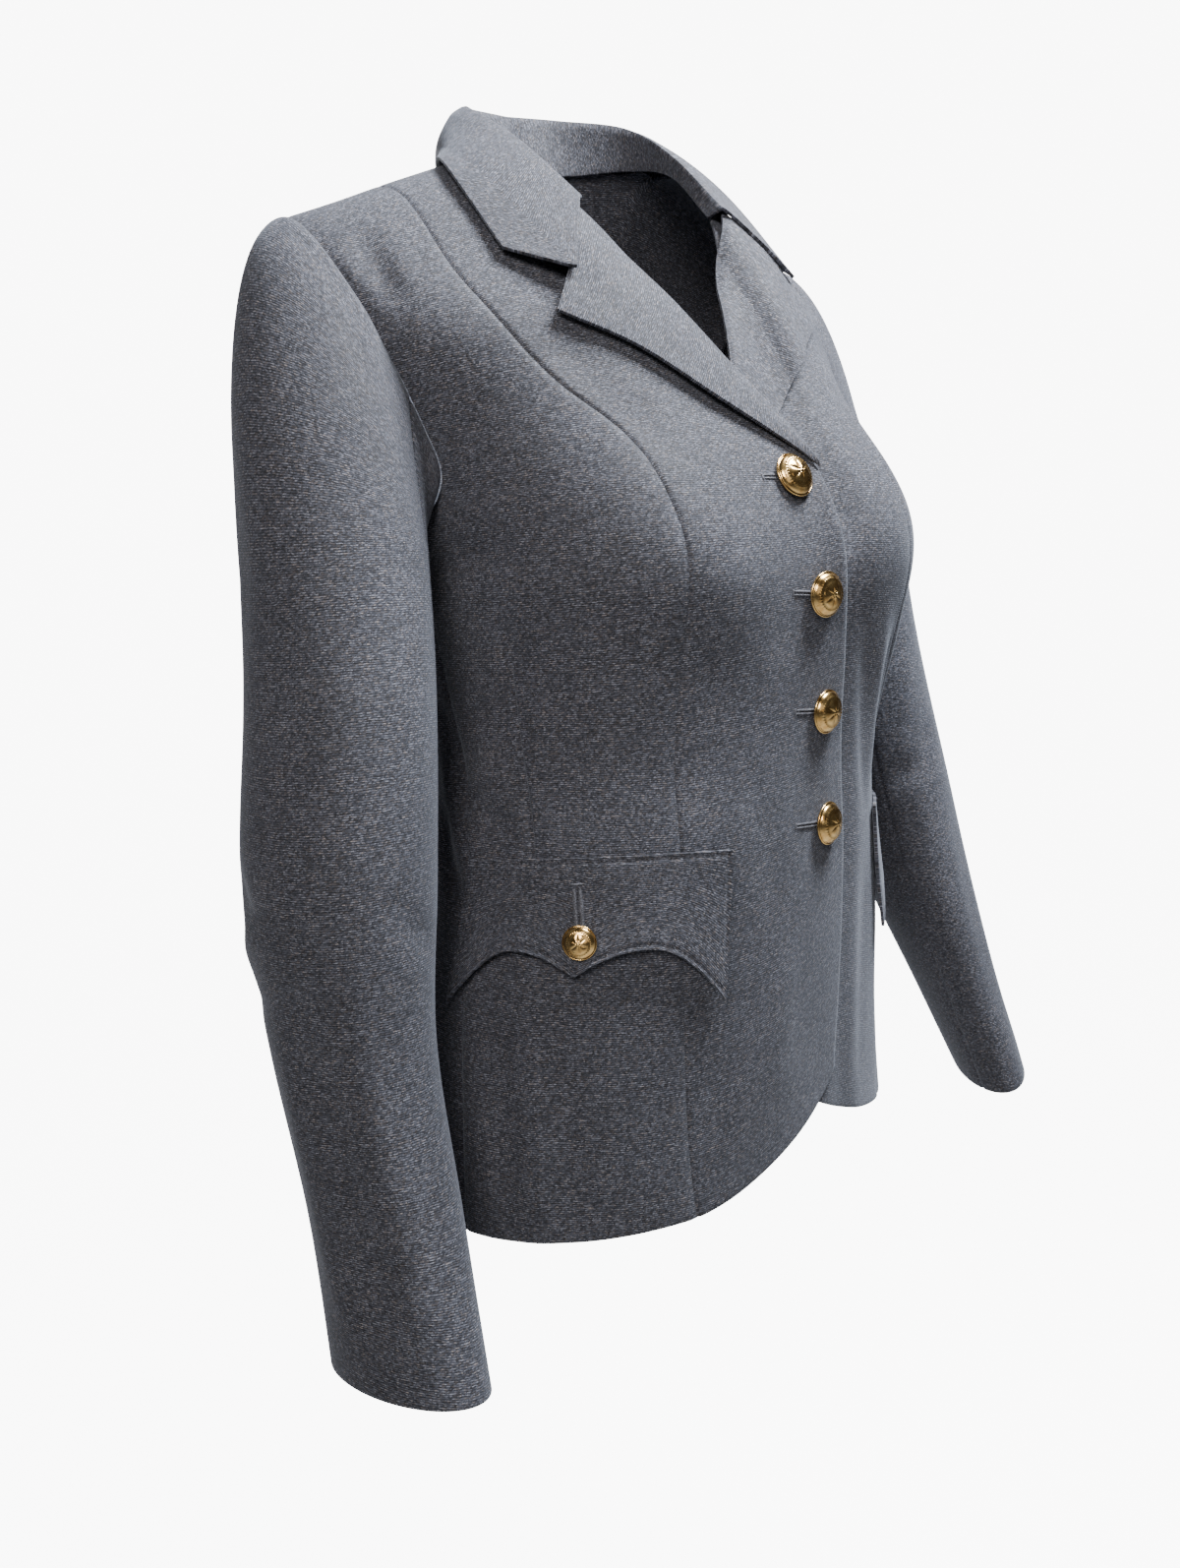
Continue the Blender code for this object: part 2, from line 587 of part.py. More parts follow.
def flap_depth(across):
    """Depth of the flap at a place across it, from -1 to 1."""
    out = np.abs(across)
    inner = FLAP_DEPTH["point"] - FLAP_DEPTH["arch"]
    outer = FLAP_DEPTH["corner"] - FLAP_DEPTH["arch"]
    near = FLAP_DEPTH["arch"] + inner * ((ARCH_PLACE - out) / ARCH_PLACE) ** 2
    far = FLAP_DEPTH["arch"] + outer * (np.clip(out - ARCH_PLACE, 0, 1) / (1 - ARCH_PLACE)) ** 2
    return np.where(out < ARCH_PLACE, near, far)


def flap_place(across, down):
    """Turn and height of a place on the right flap: across from -1 at its front to 1 at its side."""
    share = (across + 1) / 2
    z = FLAP_TOP_Z + FLAP_RISE * share + FLAP_CROWN * (1 - across ** 2) - down * flap_depth(across)
    start = turn_at(FLAP_FRONT_X + FLAP_FRONT_SLANT * down, FLAP_TOP_Z)
    end = FLAP_SIDE_TURN + FLAP_SIDE_FLARE * down
    return start + (end - start) * (share + FLAP_LEAN * share * (1 - share)), z


def flap_points():
    """A flap laid on the form, standing a little off it at its lower edge."""
    across = np.linspace(-1, 1, 21)[None, :]
    down = np.linspace(1, 0, 6)[:, None]
    turn, z = flap_place(across, down)
    points = form_point(turn, z)
    lift = LIFT + CLOTH + FLAP_FLY * down ** 2
    return points + normals(points) * lift[..., None]


# Buttons: gilt, domed, with a rolled rim and a shank

FRONT_BUTTON = 0.026      # diameter
FRONT_BUTTON_PLACES = ((-0.0030, -0.2420), (-0.0070, -0.3085), (-0.0070, -0.3750), (-0.0050, -0.4415))
FLAP_BUTTON = 0.019
FLAP_BUTTON_DOWN = 0.70   # of the flap's depth at its middle
SHANK_FOOT = 0.0004       # clearance between a shank and the cloth
SHANK_TOP = 0.0018
SHANK_SHARE = 0.20        # the shank's, the back's and the dome's radius as shares of the button's
BACK_SHARE = 0.88
DOME_SHARE = 0.93


def button_mesh(name, diameter):
    """A button's profile, to be turned about its axis: shank, back, rolled rim and dome."""
    r = diameter / 2
    rim = SHANK_TOP + 0.17 * r
    profile = [(0.0, SHANK_FOOT), (SHANK_SHARE * r, SHANK_FOOT), (SHANK_SHARE * r, SHANK_TOP)]
    profile += [(BACK_SHARE * r, SHANK_TOP), (r, SHANK_TOP + 0.07 * r), (0.97 * r, rim)]
    for degrees in (12, 32, 52, 72):
        turn = math.radians(degrees)
        profile.append((DOME_SHARE * r * math.cos(turn), rim + 0.40 * r * math.sin(turn)))
    profile.append((0.0, rim + 0.40 * r))
    mesh = bpy.data.meshes.new(name)
    points = [(x, 0.0, z) for x, z in reversed(profile)]
    mesh.from_pydata(points, [(k, k + 1) for k in range(len(points) - 1)], [])
    return mesh


def add_button(name, diameter, place, out):
    """Seat a button on the cloth, its axis along the outward normal."""
    piece = add_object(name, button_mesh(name, diameter), GILT)
    turned = piece.modifiers.new("turned", "SCREW")
    turned.axis = "Z"
    turned.steps = 16
    turned.render_steps = 16
    turned.use_merge_vertices = True
    turned.merge_threshold = 0.00005
    piece.location = place
    piece.rotation_mode = "QUATERNION"
    piece.rotation_quaternion = Vector(out).to_track_quat("Z", "Y")


def surface_place(turn, z, lift, left=False):
    """A point of the form moved out, and the form's normal there."""
    turns = turn + np.array([-0.01, 0.0, 0.01])
    heights = z + np.array([-0.002, 0.0, 0.002])
    points = form_point(turns[None, :], heights[:, None])
    out = normals(points)[1, 1]
    side = np.array([-1, 1, 1]) if left else np.ones(3)
    ends = stance(np.stack([points[1, 1], points[1, 1] + out * 0.01]) * side)
    out = (ends[1] - ends[0]) / np.linalg.norm(ends[1] - ends[0])
    return ends[0] + out * lift, out


def build_flaps_and_buttons():
    """Both flaps and every button."""
    for number, (x, z) in enumerate(FRONT_BUTTON_PLACES, 1):
        place, out = surface_place(turn_at(x, z), z, 0.0)
        add_button(f"front_button_{number}", FRONT_BUTTON, place, out)
    for side, left in (("right", False), ("left", True)):
        cloth(f"pocket_flap_{side}", stance(mirrored(flap_points(), left)))
        turn, z = flap_place(0.0, FLAP_BUTTON_DOWN)
        place, out = surface_place(turn, z, LIFT + CLOTH + FLAP_FLY * FLAP_BUTTON_DOWN ** 2, left)
        add_button(f"flap_button_{side}", FLAP_BUTTON, place, out)


build_body()
build_lapels()
cloth("collar", collar_points())
build_sleeves()
build_flaps_and_buttons()
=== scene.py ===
"""Dressed model of a women's military uniform jacket: blue-grey wool barathea with gilt buttons."""

import math

import bmesh
import bpy
import numpy as np
from mathutils import Matrix, Vector


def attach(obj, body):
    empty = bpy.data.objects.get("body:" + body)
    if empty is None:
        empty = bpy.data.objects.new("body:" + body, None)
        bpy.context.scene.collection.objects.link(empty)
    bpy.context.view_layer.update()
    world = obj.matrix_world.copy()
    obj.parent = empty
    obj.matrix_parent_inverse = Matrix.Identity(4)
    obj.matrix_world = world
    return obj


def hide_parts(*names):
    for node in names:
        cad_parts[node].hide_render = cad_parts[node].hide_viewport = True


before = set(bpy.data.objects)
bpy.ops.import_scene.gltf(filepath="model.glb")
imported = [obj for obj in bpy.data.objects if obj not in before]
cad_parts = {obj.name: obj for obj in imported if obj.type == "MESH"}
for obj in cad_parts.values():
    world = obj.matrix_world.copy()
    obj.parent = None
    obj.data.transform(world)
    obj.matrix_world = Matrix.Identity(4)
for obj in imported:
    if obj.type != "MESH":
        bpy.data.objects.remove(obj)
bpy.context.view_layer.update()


# Studio: a pale floor that sweeps up into a backdrop, four soft lights and the camera.
# The camera stands at the wearer's right front, a little below the shoulders, and leans with the photo.

FLOOR_Z = -1.42
SWEEP_REACH = 3.2
SWEEP_RADIUS = 1.2
SWEEP_NEAR = -6.0
SWEEP_TOP_Z = 6.0
SWEEP_HALF_WIDTH = 8.0
PAPER_GLOW = 9.0
SKY_LIGHT = 0.055

CAMERA_PLACE = (-0.520, -0.598, -0.285)
CAMERA_TURN = math.radians(-36.9)
CAMERA_DIP = math.radians(9.1)
CAMERA_LEAN = math.radians(-9.25)
SENSOR_WIDTH = 36.0
LENS_PIXELS = 1220.0
PHOTO_HEIGHT = 1594.0

COOL_LIGHT = (0.92, 0.96, 1.0)
WARM_LIGHT = (1.0, 0.96, 0.92)
PLAIN_LIGHT = (0.96, 0.98, 1.0)
# Each light's name, place, target, size, power and colour
LIGHTS = (
    ("top_light", (0.38, -0.44, 0.66), (0.0, -0.08, -0.15), 0.45, 52.0, COOL_LIGHT),
    ("front_light", (-0.6, -1.7, 0.0), (0.0, 0.0, -0.45), 0.90, 2.0, WARM_LIGHT),
    ("side_light", (-1.02, -0.92, 0.46), (-0.15, 0.0, -0.34), 0.55, 16.5, WARM_LIGHT),
    ("back_light", (0.90, 1.60, 0.50), (0.0, 0.0, -0.30), 0.90, 28.0, PLAIN_LIGHT),
)


def put(name, data):
    """A new object in the scene."""
    thing = bpy.data.objects.new(name, data)
    bpy.context.scene.collection.objects.link(thing)
    return thing


def grid_faces(rows, columns, closed=False):
    """Quads of a grid of points. A closed grid's columns run round the other way, and meet."""
    index = np.arange(rows * columns).reshape(rows, columns)
    if closed:
        index = np.concatenate([index, index[:, :1]], 1)
    quads = np.stack([index[:-1, :-1], index[1:, :-1], index[1:, 1:], index[:-1, 1:]], -1).reshape(-1, 4)
    return quads[:, [0, 3, 2, 1]] if closed else quads


def smooth_mesh(name, points, faces, material):
    """A smooth-shaded mesh of one material."""
    mesh = bpy.data.meshes.new(name)
    mesh.from_pydata(points.reshape(-1, 3).tolist(), [], faces.tolist())
    mesh.shade_smooth()
    mesh.materials.append(material)
    return mesh


def set_inputs(node, values):
    """Values of a node's inputs, by their names."""
    for name, value in values.items():
        node.inputs[name].default_value = value


def add_node(tree, kind, values=None, **settings):
    """A new node with its settings and the values of its inputs."""
    node = tree.nodes.new(f"ShaderNode{kind}")
    for name, value in settings.items():
        setattr(node, name, value)
    set_inputs(node, values or {})
    return node


def new_material(name, values):
    """A material, its node tree and its shader, with the values that are the same all over the piece."""
    made = bpy.data.materials.new(name)
    made.use_nodes = True
    shader = made.node_tree.nodes["Principled BSDF"]
    set_inputs(shader, values)
    return made, made.node_tree, shader


def sweep_surface():
    """A profile of floor, quarter circle and wall, drawn out sideways and turned to face the camera."""
    bend = np.linspace(0, math.pi / 2, 24)
    arc_out = SWEEP_REACH - SWEEP_RADIUS + SWEEP_RADIUS * np.sin(bend)
    arc_z = FLOOR_Z + SWEEP_RADIUS * (1 - np.cos(bend))
    out = np.concatenate([[SWEEP_NEAR, 0.0], arc_out, [SWEEP_REACH]])
    side = np.array([-SWEEP_HALF_WIDTH, SWEEP_HALF_WIDTH])[:, None]
    points = np.empty((len(side), len(out), 3))
    points[..., 0] = side * math.cos(CAMERA_TURN) - out * math.sin(CAMERA_TURN)
    points[..., 1] = side * math.sin(CAMERA_TURN) + out * math.cos(CAMERA_TURN)
    points[..., 2] = np.concatenate([[FLOOR_Z, FLOOR_Z], arc_z, [SWEEP_TOP_Z]])
    return points


def glow_for_camera(tree, low, target):
    """A strength that is the paper's glow for the camera and low for all that is lit."""
    seen = add_node(tree, "LightPath")
    glow = add_node(tree, "MapRange", {"To Min": low, "To Max": PAPER_GLOW})
    tree.links.new(seen.outputs["Is Camera Ray"], glow.inputs["Value"])
    tree.links.new(glow.outputs["Result"], target)


paper, paper_tree, paper_shader = new_material("studio_paper", {
    "Base Color": (0.60, 0.60, 0.60, 1), "Roughness": 0.9, "Emission Color": (1, 1, 1, 1)})
glow_for_camera(paper_tree, 0.0, paper_shader.inputs["Emission Strength"])
sweep = sweep_surface()
studio_floor = put("studio_floor", smooth_mesh("studio_floor", sweep, grid_faces(*sweep.shape[:2]), paper))

studio = bpy.data.worlds.new("studio")
studio.use_nodes = True
sky = studio.node_tree.nodes["Background"]
sky.inputs["Color"].default_value = (0.92, 0.95, 1.0, 1)
glow_for_camera(studio.node_tree, SKY_LIGHT, sky.inputs["Strength"])
bpy.context.scene.world = studio


def softbox(name, place, target, size, power, colour):
    """A square area light that faces its target."""
    light = bpy.data.lights.new(name, "AREA")
    light.shape = "SQUARE"
    light.size = size
    light.energy = power
    light.color = colour
    lamp = put(name, light)
    lamp.location = place
    lamp.rotation_mode = "QUATERNION"
    lamp.rotation_quaternion = (Vector(target) - Vector(place)).to_track_quat("-Z", "Y")


for light_row in LIGHTS:
    softbox(*light_row)

level = Vector((math.cos(CAMERA_TURN), math.sin(CAMERA_TURN), 0))
facing = Vector((-math.sin(CAMERA_TURN), math.cos(CAMERA_TURN), 0))
ahead = math.cos(CAMERA_DIP) * facing - math.sin(CAMERA_DIP) * Vector((0, 0, 1))
upright = level.cross(ahead)
rightward = math.cos(CAMERA_LEAN) * level + math.sin(CAMERA_LEAN) * upright
upward = math.cos(CAMERA_LEAN) * upright - math.sin(CAMERA_LEAN) * level
turned = Matrix((rightward, upward, -ahead)).transposed().to_4x4()

camera = put("camera", bpy.data.cameras.new("camera"))
camera.data.sensor_width = SENSOR_WIDTH
camera.data.lens = LENS_PIXELS / PHOTO_HEIGHT * SENSOR_WIDTH
camera.data.clip_start = 0.02
camera.matrix_world = Matrix.Translation(CAMERA_PLACE) @ turned
bpy.context.scene.camera = camera


# Fronts: the two panels beside the opening, of wool barathea, cut away in a round at the hem.
# The wearer's right front laps over the left one, which is tucked behind it near the centre.
# Every body panel is a patch of one garment form, on which the soft folds of wear are pressed.

CLOTH = 0.0020
LIFT = 0.0006
HEM_Z = -0.650
UNDERARM_Z = -0.232
NECK_X = 0.078
NECK_Z = -0.026
NECK_SLOPE = 0.90
BACK_NECK_RISE = 0.016
SHOULDER_SLOPE = 0.330
SHOULDER_ARCH = 0.105
BUST_X = 0.088
BUST_Z = -0.276
BUST_RISE = 0.011
BUST_WIDTH = 0.050
BUST_HEIGHT = 0.062

FORM_COLUMNS = ("z", "half_width", "front", "side", "back", "square_front", "square_back")
FORM_ROWS = (
    (-0.670, 0.186, -0.106, 0.016, 0.122, 2.20, 2.20),
    (-0.590, 0.180, -0.112, 0.015, 0.119, 2.20, 2.30),
    (-0.520, 0.172, -0.117, 0.014, 0.110, 2.30, 2.40),
    (-0.450, 0.161, -0.122, 0.010, 0.095, 2.45, 2.60),
    (-0.395, 0.154, -0.127, 0.008, 0.084, 2.50, 2.70),
    (-0.335, 0.157, -0.136, 0.008, 0.088, 2.60, 2.70),
    (-0.290, 0.160, -0.141, 0.008, 0.092, 2.60, 2.50),
    (-0.240, 0.161, -0.131, 0.010, 0.096, 2.60, 2.40),
    (-0.190, 0.170, -0.110, 0.012, 0.098, 2.55, 2.50),
    (-0.140, 0.190, -0.087, 0.014, 0.098, 2.50, 2.60),
    (-0.100, 0.204, -0.064, 0.016, 0.092, 2.50, 2.60),
    (-0.060, 0.210, -0.052, 0.018, 0.084, 2.50, 2.60),
    (0.000, 0.212, -0.046, 0.020, 0.078, 2.50, 2.60),
)
TWIST_TOP_Z = -0.300
TWIST_LOW_Z = -0.450
TWIST = math.radians(11)
TWIST_Y = -0.125
SWAY_TOP_Z = -0.430
SWAY_LOW_Z = -0.650
SWAY = -0.018
HIP_TILT = 0.090
SET_BACK_X = (0.070, 0.185)
SET_BACK_Z = (-0.300, -0.170)
SET_BACK = (-0.004, 0.016, -0.011)
LEFT_BREAST_X = 0.105
LEFT_BREAST_Z = -0.262
LEFT_BREAST_SIZE = 0.050
LEFT_BREAST = (0.0035, -0.0040, 0.0)

PRINCESS = ((-0.660, 0.105), (-0.558, 0.107), (-0.440, 0.106), (-0.400, 0.102), (-0.340, 0.095),
            (-0.294, 0.090), (-0.254, 0.087), (-0.208, 0.093), (-0.172, 0.117), (-0.120, 0.138),
            (-0.050, 0.140))
FRONT_EDGE = ((-0.600, -0.0200), (-0.548, -0.0260), (-0.464, -0.0300), (-0.366, -0.0300), (-0.264, -0.0265),
              (-0.226, -0.0240), (-0.172, 0.0060), (-0.125, 0.0290), (-0.086, 0.0505), (-0.060, 0.0620),
              (-0.040, 0.0730), (-0.020, 0.0780))
CUTAWAY_START = 0.106
CUTAWAY_END = -0.0200
CUTAWAY_RISE = 0.054
CUTAWAY_POWER = 1.4
UNDERLAP = 0.0034
LAPEL_UNDERLAP = 0.0040
TUCK_X = 0.054
TUCK_RAMP = 0.025
LAPEL_TUCK_Z = -0.290
LAPEL_TUCK_RAMP = 0.030
CURL = 0.0026
CURL_Z = -0.262
CURL_HEIGHT = 0.032
CURL_WIDTH = 0.010

# Along the seams the edges are rolled in and lap a little
SEAM_ROLL = 0.0011
SEAM_ROLL_WIDTH = 0.0016
SEAM_LAP = 0.0003
BODY_LAP = SEAM_LAP / 0.150
RIPPLE = 0.0004
RIPPLE_UP = 46
RIPPLE_LEAN = 9
RIPPLE_ACROSS = 60
RIPPLE_START = 2
SOFT_EDGE = 0.35
PANEL_ROWS = np.concatenate([np.linspace(0, 1, 110), 1 + np.linspace(0, 1, 70)[1:]])
SIDES = (("right", False), ("left", True))

# The weave in places per metre along weft and warp, and its shades from the darkest yarn to the lightest
FLOATS = (820, 1900)
FIBRES = (1500, 2300)
CLOUDS = (22, 16)
RIB_PITCH = 0.0012
WEFT_SLANT = math.radians(-5)
WOOL_STOPS = ((0.05, (0.006, 0.006, 0.008, 1)), (0.40, (0.036, 0.038, 0.048, 1)),
              (0.72, (0.098, 0.102, 0.128, 1)), (0.95, (0.330, 0.335, 0.390, 1)))
WARM_FLOAT = (1.15, 1.0, 0.84, 1)


def smooth(keys, values, at):
    """Value of a table at each place: a cubic through its rows, with the slope between their neighbours."""
    keys = np.asarray(keys, float)
    values = np.asarray(values, float)
    at = np.clip(np.asarray(at, float), keys[0], keys[-1])
    slopes = np.gradient(values, keys)
    row = np.clip(np.searchsorted(keys, at) - 1, 0, len(keys) - 2)
    step = keys[row + 1] - keys[row]
    u = (at - keys[row]) / step
    start = (1 + 2 * u) * (1 - u) ** 2 * values[row]
    end = u ** 2 * (3 - 2 * u) * values[row + 1]
    return start + end + step * (u * (1 - u) ** 2 * slopes[row] - u ** 2 * (1 - u) * slopes[row + 1])


def bell(away, width):
    """A bell: e to the power of minus the square of the distance over the width."""
    return np.exp(-(away / width) ** 2)


def unit(vectors):
    """Vectors of length 1 in the same directions."""
    return vectors / np.linalg.norm(vectors, axis=-1, keepdims=True)


def run_along(points, axis=1):
    """Distance run along the rows or columns of a grid, from their first points."""
    steps = np.linalg.norm(np.diff(points, axis=axis), axis=-1)
    return np.concatenate([np.zeros_like(steps.take([0], axis)), np.cumsum(steps, axis)], axis)


def eased(share):
    """A share kept between 0 and 1, eased at both ends: 3 s squared less 2 s cubed."""
    share = np.clip(share, 0, 1)
    return share * share * (3 - 2 * share)


def table_value(rows, columns, name, at):
    """One named column of a table, read at places of its first column."""
    place = columns.index(name)
    return smooth([row[0] for row in rows], [row[place] for row in rows], at)


def form_size(column, z):
    """One column of the garment form at each height."""
    return table_value(FORM_ROWS, FORM_COLUMNS, column, z)


def seam_x(rows, z):
    """Distance of a seam line from the centre at each height."""
    return table_value(rows, ("z", "x"), "x", z)


def shoulder_z(x):
    """Height of the shoulder seam: a straight slope outside the neck, and a steeper one inside it."""
    outward = np.abs(x) - NECK_X
    return NECK_Z - np.where(outward > 0, SHOULDER_SLOPE, NECK_SLOPE) * outward


def oval_power(turn, z):
    """Power that squares the oval of the form, in front and behind."""
    return 2 / np.where(np.cos(turn) >= 0, form_size("square_front", z), form_size("square_back", z))


def form_x(turn, z):
    """Distance from the centre: the half width times the sine of the turn to the oval's power."""
    sine = np.sin(turn)
    return form_size("half_width", z) * np.sign(sine) * np.abs(sine) ** oval_power(turn, z)


def turn_at(x, z, back=False):
    """How far round from the centre front the form has the distance x from the centre."""
    square = form_size("square_back" if back else "square_front", z)
    share = np.clip(np.abs(x) / form_size("half_width", z), 0, 1)
    turn = np.arcsin(share ** (square / 2)) * np.sign(x)
    return math.pi - turn if back else turn


def form_point(turn, z):
    """Point of the right half of the form: an uneven oval that closes in an arch at the shoulder seam."""
    turn, z = np.broadcast_arrays(turn, z)
    x = form_x(turn, z)
    front = np.cos(turn) >= 0
    side = form_size("side", z)
    depth = np.where(front, form_size("front", z) - side, form_size("back", z) - side)
    below = np.clip((shoulder_z(x) - z) / SHOULDER_ARCH, 0, 1)
    arch = np.sqrt(1 - (1 - below) ** 2)
    across = (np.abs(x) - BUST_X) / BUST_WIDTH
    along = (z - BUST_Z) / BUST_HEIGHT
    bust = np.where(front, BUST_RISE * np.exp(-across ** 2 - along ** 2), 0)
    y = side + depth * np.abs(np.cos(turn)) ** oval_power(turn, z) * arch - bust
    return np.stack([-x, y, z], -1)


def stance(points):
    """Points of the body set in the stance: twisted, tilted and swayed below the chest."""
    x, y, z = points[..., 0], points[..., 1] - TWIST_Y, points[..., 2]
    share = eased((TWIST_TOP_Z - z) / (TWIST_TOP_Z - TWIST_LOW_Z))
    sway = SWAY * eased((SWAY_TOP_Z - z) / (SWAY_TOP_Z - SWAY_LOW_Z))
    turned_x = x * np.cos(TWIST * share) - y * np.sin(TWIST * share) + sway
    turned_y = x * np.sin(TWIST * share) + y * np.cos(TWIST * share) + TWIST_Y
    return np.stack([turned_x, turned_y, z - HIP_TILT * share * turned_x], -1)


def settled(points):
    """Points with the wearer's left shoulder set back and down, and the left breast pushed out."""
    x, z = points[..., 0], points[..., 2]
    across = eased((x - SET_BACK_X[0]) / (SET_BACK_X[1] - SET_BACK_X[0]))
    upper = eased((z - SET_BACK_Z[0]) / (SET_BACK_Z[1] - SET_BACK_Z[0]))
    away = ((x - LEFT_BREAST_X) ** 2 + (z - LEFT_BREAST_Z) ** 2) / LEFT_BREAST_SIZE ** 2
    front = eased(-points[..., 1] / 0.04)
    shift = (across * upper)[..., None] * np.array(SET_BACK)
    return points + shift + (front * np.exp(-away))[..., None] * np.array(LEFT_BREAST)


def level_z(row, x, hem, top=shoulder_z):
    """Height of a row of a panel: 0 at the hem, 1 level with the underarm, 2 at the top edge."""
    low = hem(x) + (UNDERARM_Z - hem(x)) * np.clip(row, 0, 1)
    high = UNDERARM_Z + (top(x) - UNDERARM_Z) * np.sin(np.clip(row - 1, 0, 1) * math.pi / 2)
    return np.where(row < 1, low, high)


def cutaway_hem(x):
    """Hem of a front: level at the princess seam, then rising in a round to the front edge."""
    share = np.clip((CUTAWAY_START - np.asarray(x)) / (CUTAWAY_START - CUTAWAY_END), 0, 1)
    return HEM_Z + CUTAWAY_RISE * (1 - (1 - share ** CUTAWAY_POWER) ** (1 / CUTAWAY_POWER))


def seam_crossing(rows, seam, hem):
    """Distance from the centre and height at which a seam line crosses each row of a panel."""
    z = level_z(rows, np.full(rows.shape, seam[-1][1]), hem)
    for _ in range(24):
        x = seam_x(seam, z)
        z = (z + level_z(rows, x, hem)) / 2
    return x, z


def edge_turn(seam, hem, back=False):
    """Turn of a seam line where it crosses the rows of a panel."""
    x, z = seam_crossing(PANEL_ROWS, seam, hem)
    return turn_at(x, z, back)


def normals(points):
    """Unit normals of a grid: along crossed with across, from the difference between neighbours."""
    return unit(np.cross(np.gradient(points, axis=0), np.gradient(points, axis=1)))


def edge_distance(points):
    """Distance along each row from the nearer of its two ends."""
    run = run_along(points)
    return np.minimum(run, run[:, -1:] - run)


# Folds of wear: each runs from one place of the form to another, given by turn in degrees and height,
# with its half width and its depth. A depth below zero is a trough, above zero a ridge.
BODY_FOLDS = {
    "right": (
        (104, -0.262, 68, -0.254, 0.0075, -0.0075),
        (100, -0.243, 60, -0.236, 0.0090, 0.0022),
        (96, -0.282, 66, -0.276, 0.0100, 0.0018),
        (52, -0.080, 60, -0.128, 0.0080, -0.0024),
        (45, -0.078, 52, -0.118, 0.0085, 0.0012),
        (63, -0.090, 70, -0.150, 0.0070, 0.0014),
        (72, -0.288, 72, -0.318, 0.0075, -0.0028),
        (94, -0.330, 90, -0.398, 0.0080, -0.0022),
        (91, -0.386, 80, -0.424, 0.0065, -0.0018),
        (98, -0.372, 91, -0.440, 0.0070, 0.0022),
        (84, -0.360, 82, -0.415, 0.0090, 0.0022),
        (100, -0.410, 94, -0.470, 0.0085, -0.0034),
        (62, -0.335, 66, -0.425, 0.0130, -0.0016),
        (46, -0.330, 52, -0.420, 0.0150, 0.0010),
        (20, -0.330, 34, -0.420, 0.0180, -0.0014),
        (18, -0.390, 10, -0.520, 0.0160, -0.0012),
        (82, -0.500, 76, -0.645, 0.0090, -0.0020),
        (73, -0.500, 70, -0.645, 0.0090, 0.0016),
        (66, -0.510, 62, -0.645, 0.0100, -0.0016),
        (50, -0.530, 48, -0.645, 0.0140, 0.0012),
        (30, -0.520, 32, -0.640, 0.0160, -0.0012),
        (12, -0.480, 10, -0.600, 0.0140, 0.0012),
        (96, -0.480, 92, -0.640, 0.0140, -0.0022),
        (30, -0.150, 22, -0.215, 0.0120, -0.0014),
        (112, -0.240, 134, -0.330, 0.0120, -0.0034),
        (126, -0.255, 150, -0.350, 0.0130, 0.0026),
        (112, -0.396, 152, -0.412, 0.0110, -0.0034),
        (116, -0.422, 160, -0.436, 0.0100, 0.0028),
        (124, -0.450, 150, -0.458, 0.0100, -0.0020),
        (130, -0.500, 126, -0.640, 0.0160, -0.0028),
        (150, -0.490, 156, -0.640, 0.0160, 0.0024),
        (126, -0.100, 138, -0.200, 0.0140, -0.0024),
        (146, -0.120, 152, -0.220, 0.0160, 0.0014),
    ),
    "left": (
        (100, -0.262, 70, -0.254, 0.0080, -0.0060),
        (98, -0.243, 62, -0.238, 0.0090, 0.0020),
        (54, -0.085, 62, -0.135, 0.0085, -0.0022),
        (12, -0.325, 20, -0.440, 0.0075, -0.0022),
        (20, -0.325, 26, -0.430, 0.0075, 0.0020),
        (27, -0.330, 36, -0.420, 0.0080, -0.0022),
        (72, -0.290, 72, -0.318, 0.0080, -0.0024),
        (94, -0.335, 86, -0.410, 0.0085, -0.0034),
        (96, -0.380, 88, -0.440, 0.0080, 0.0028),
        (50, -0.330, 62, -0.420, 0.0130, -0.0018),
        (20, -0.470, 18, -0.620, 0.0120, -0.0018),
        (30, -0.490, 30, -0.640, 0.0120, 0.0016),
        (64, -0.510, 62, -0.645, 0.0120, -0.0016),
        (94, -0.480, 90, -0.640, 0.0140, -0.0020),
        (108, -0.245, 132, -0.325, 0.0120, -0.0030),
        (124, -0.260, 148, -0.360, 0.0130, 0.0024),
        (114, -0.400, 150, -0.396, 0.0110, -0.0032),
        (118, -0.426, 158, -0.420, 0.0100, 0.0028),
        (128, -0.505, 132, -0.640, 0.0160, -0.0026),
        (150, -0.500, 148, -0.640, 0.0160, 0.0022),
        (128, -0.100, 136, -0.190, 0.0140, -0.0022),
    ),
}


# How a fold's line wavers: the axis, the reach in widths, the waves along it and the start for its depth
FOLD_WOBBLE = ((1, 0.35, 5, 900), (2, 0.25, 7, 500))
FOLD_OVERRUN = 0.15
FOLD_FADE_IN = 0.40
FOLD_FADE_OUT = 0.45


def fold_height(points, start, end, width, depth):
    """One soft fold: a bell across the line from start to end, fading out at both ends."""
    line = end - start
    length = np.linalg.norm(line)
    line = line / length
    along = (points - start) @ line
    share = along / length
    off = points - start - along[..., None] * line
    for axis, reach, waves, phase in FOLD_WOBBLE:
        off[..., axis] += reach * width * np.sin(waves * share + phase * depth)
    fade = eased((share + FOLD_OVERRUN) / FOLD_FADE_IN) * eased((1 + FOLD_OVERRUN - share) / FOLD_FADE_OUT)
    return depth * bell(np.linalg.norm(off, axis=-1), width) * fade


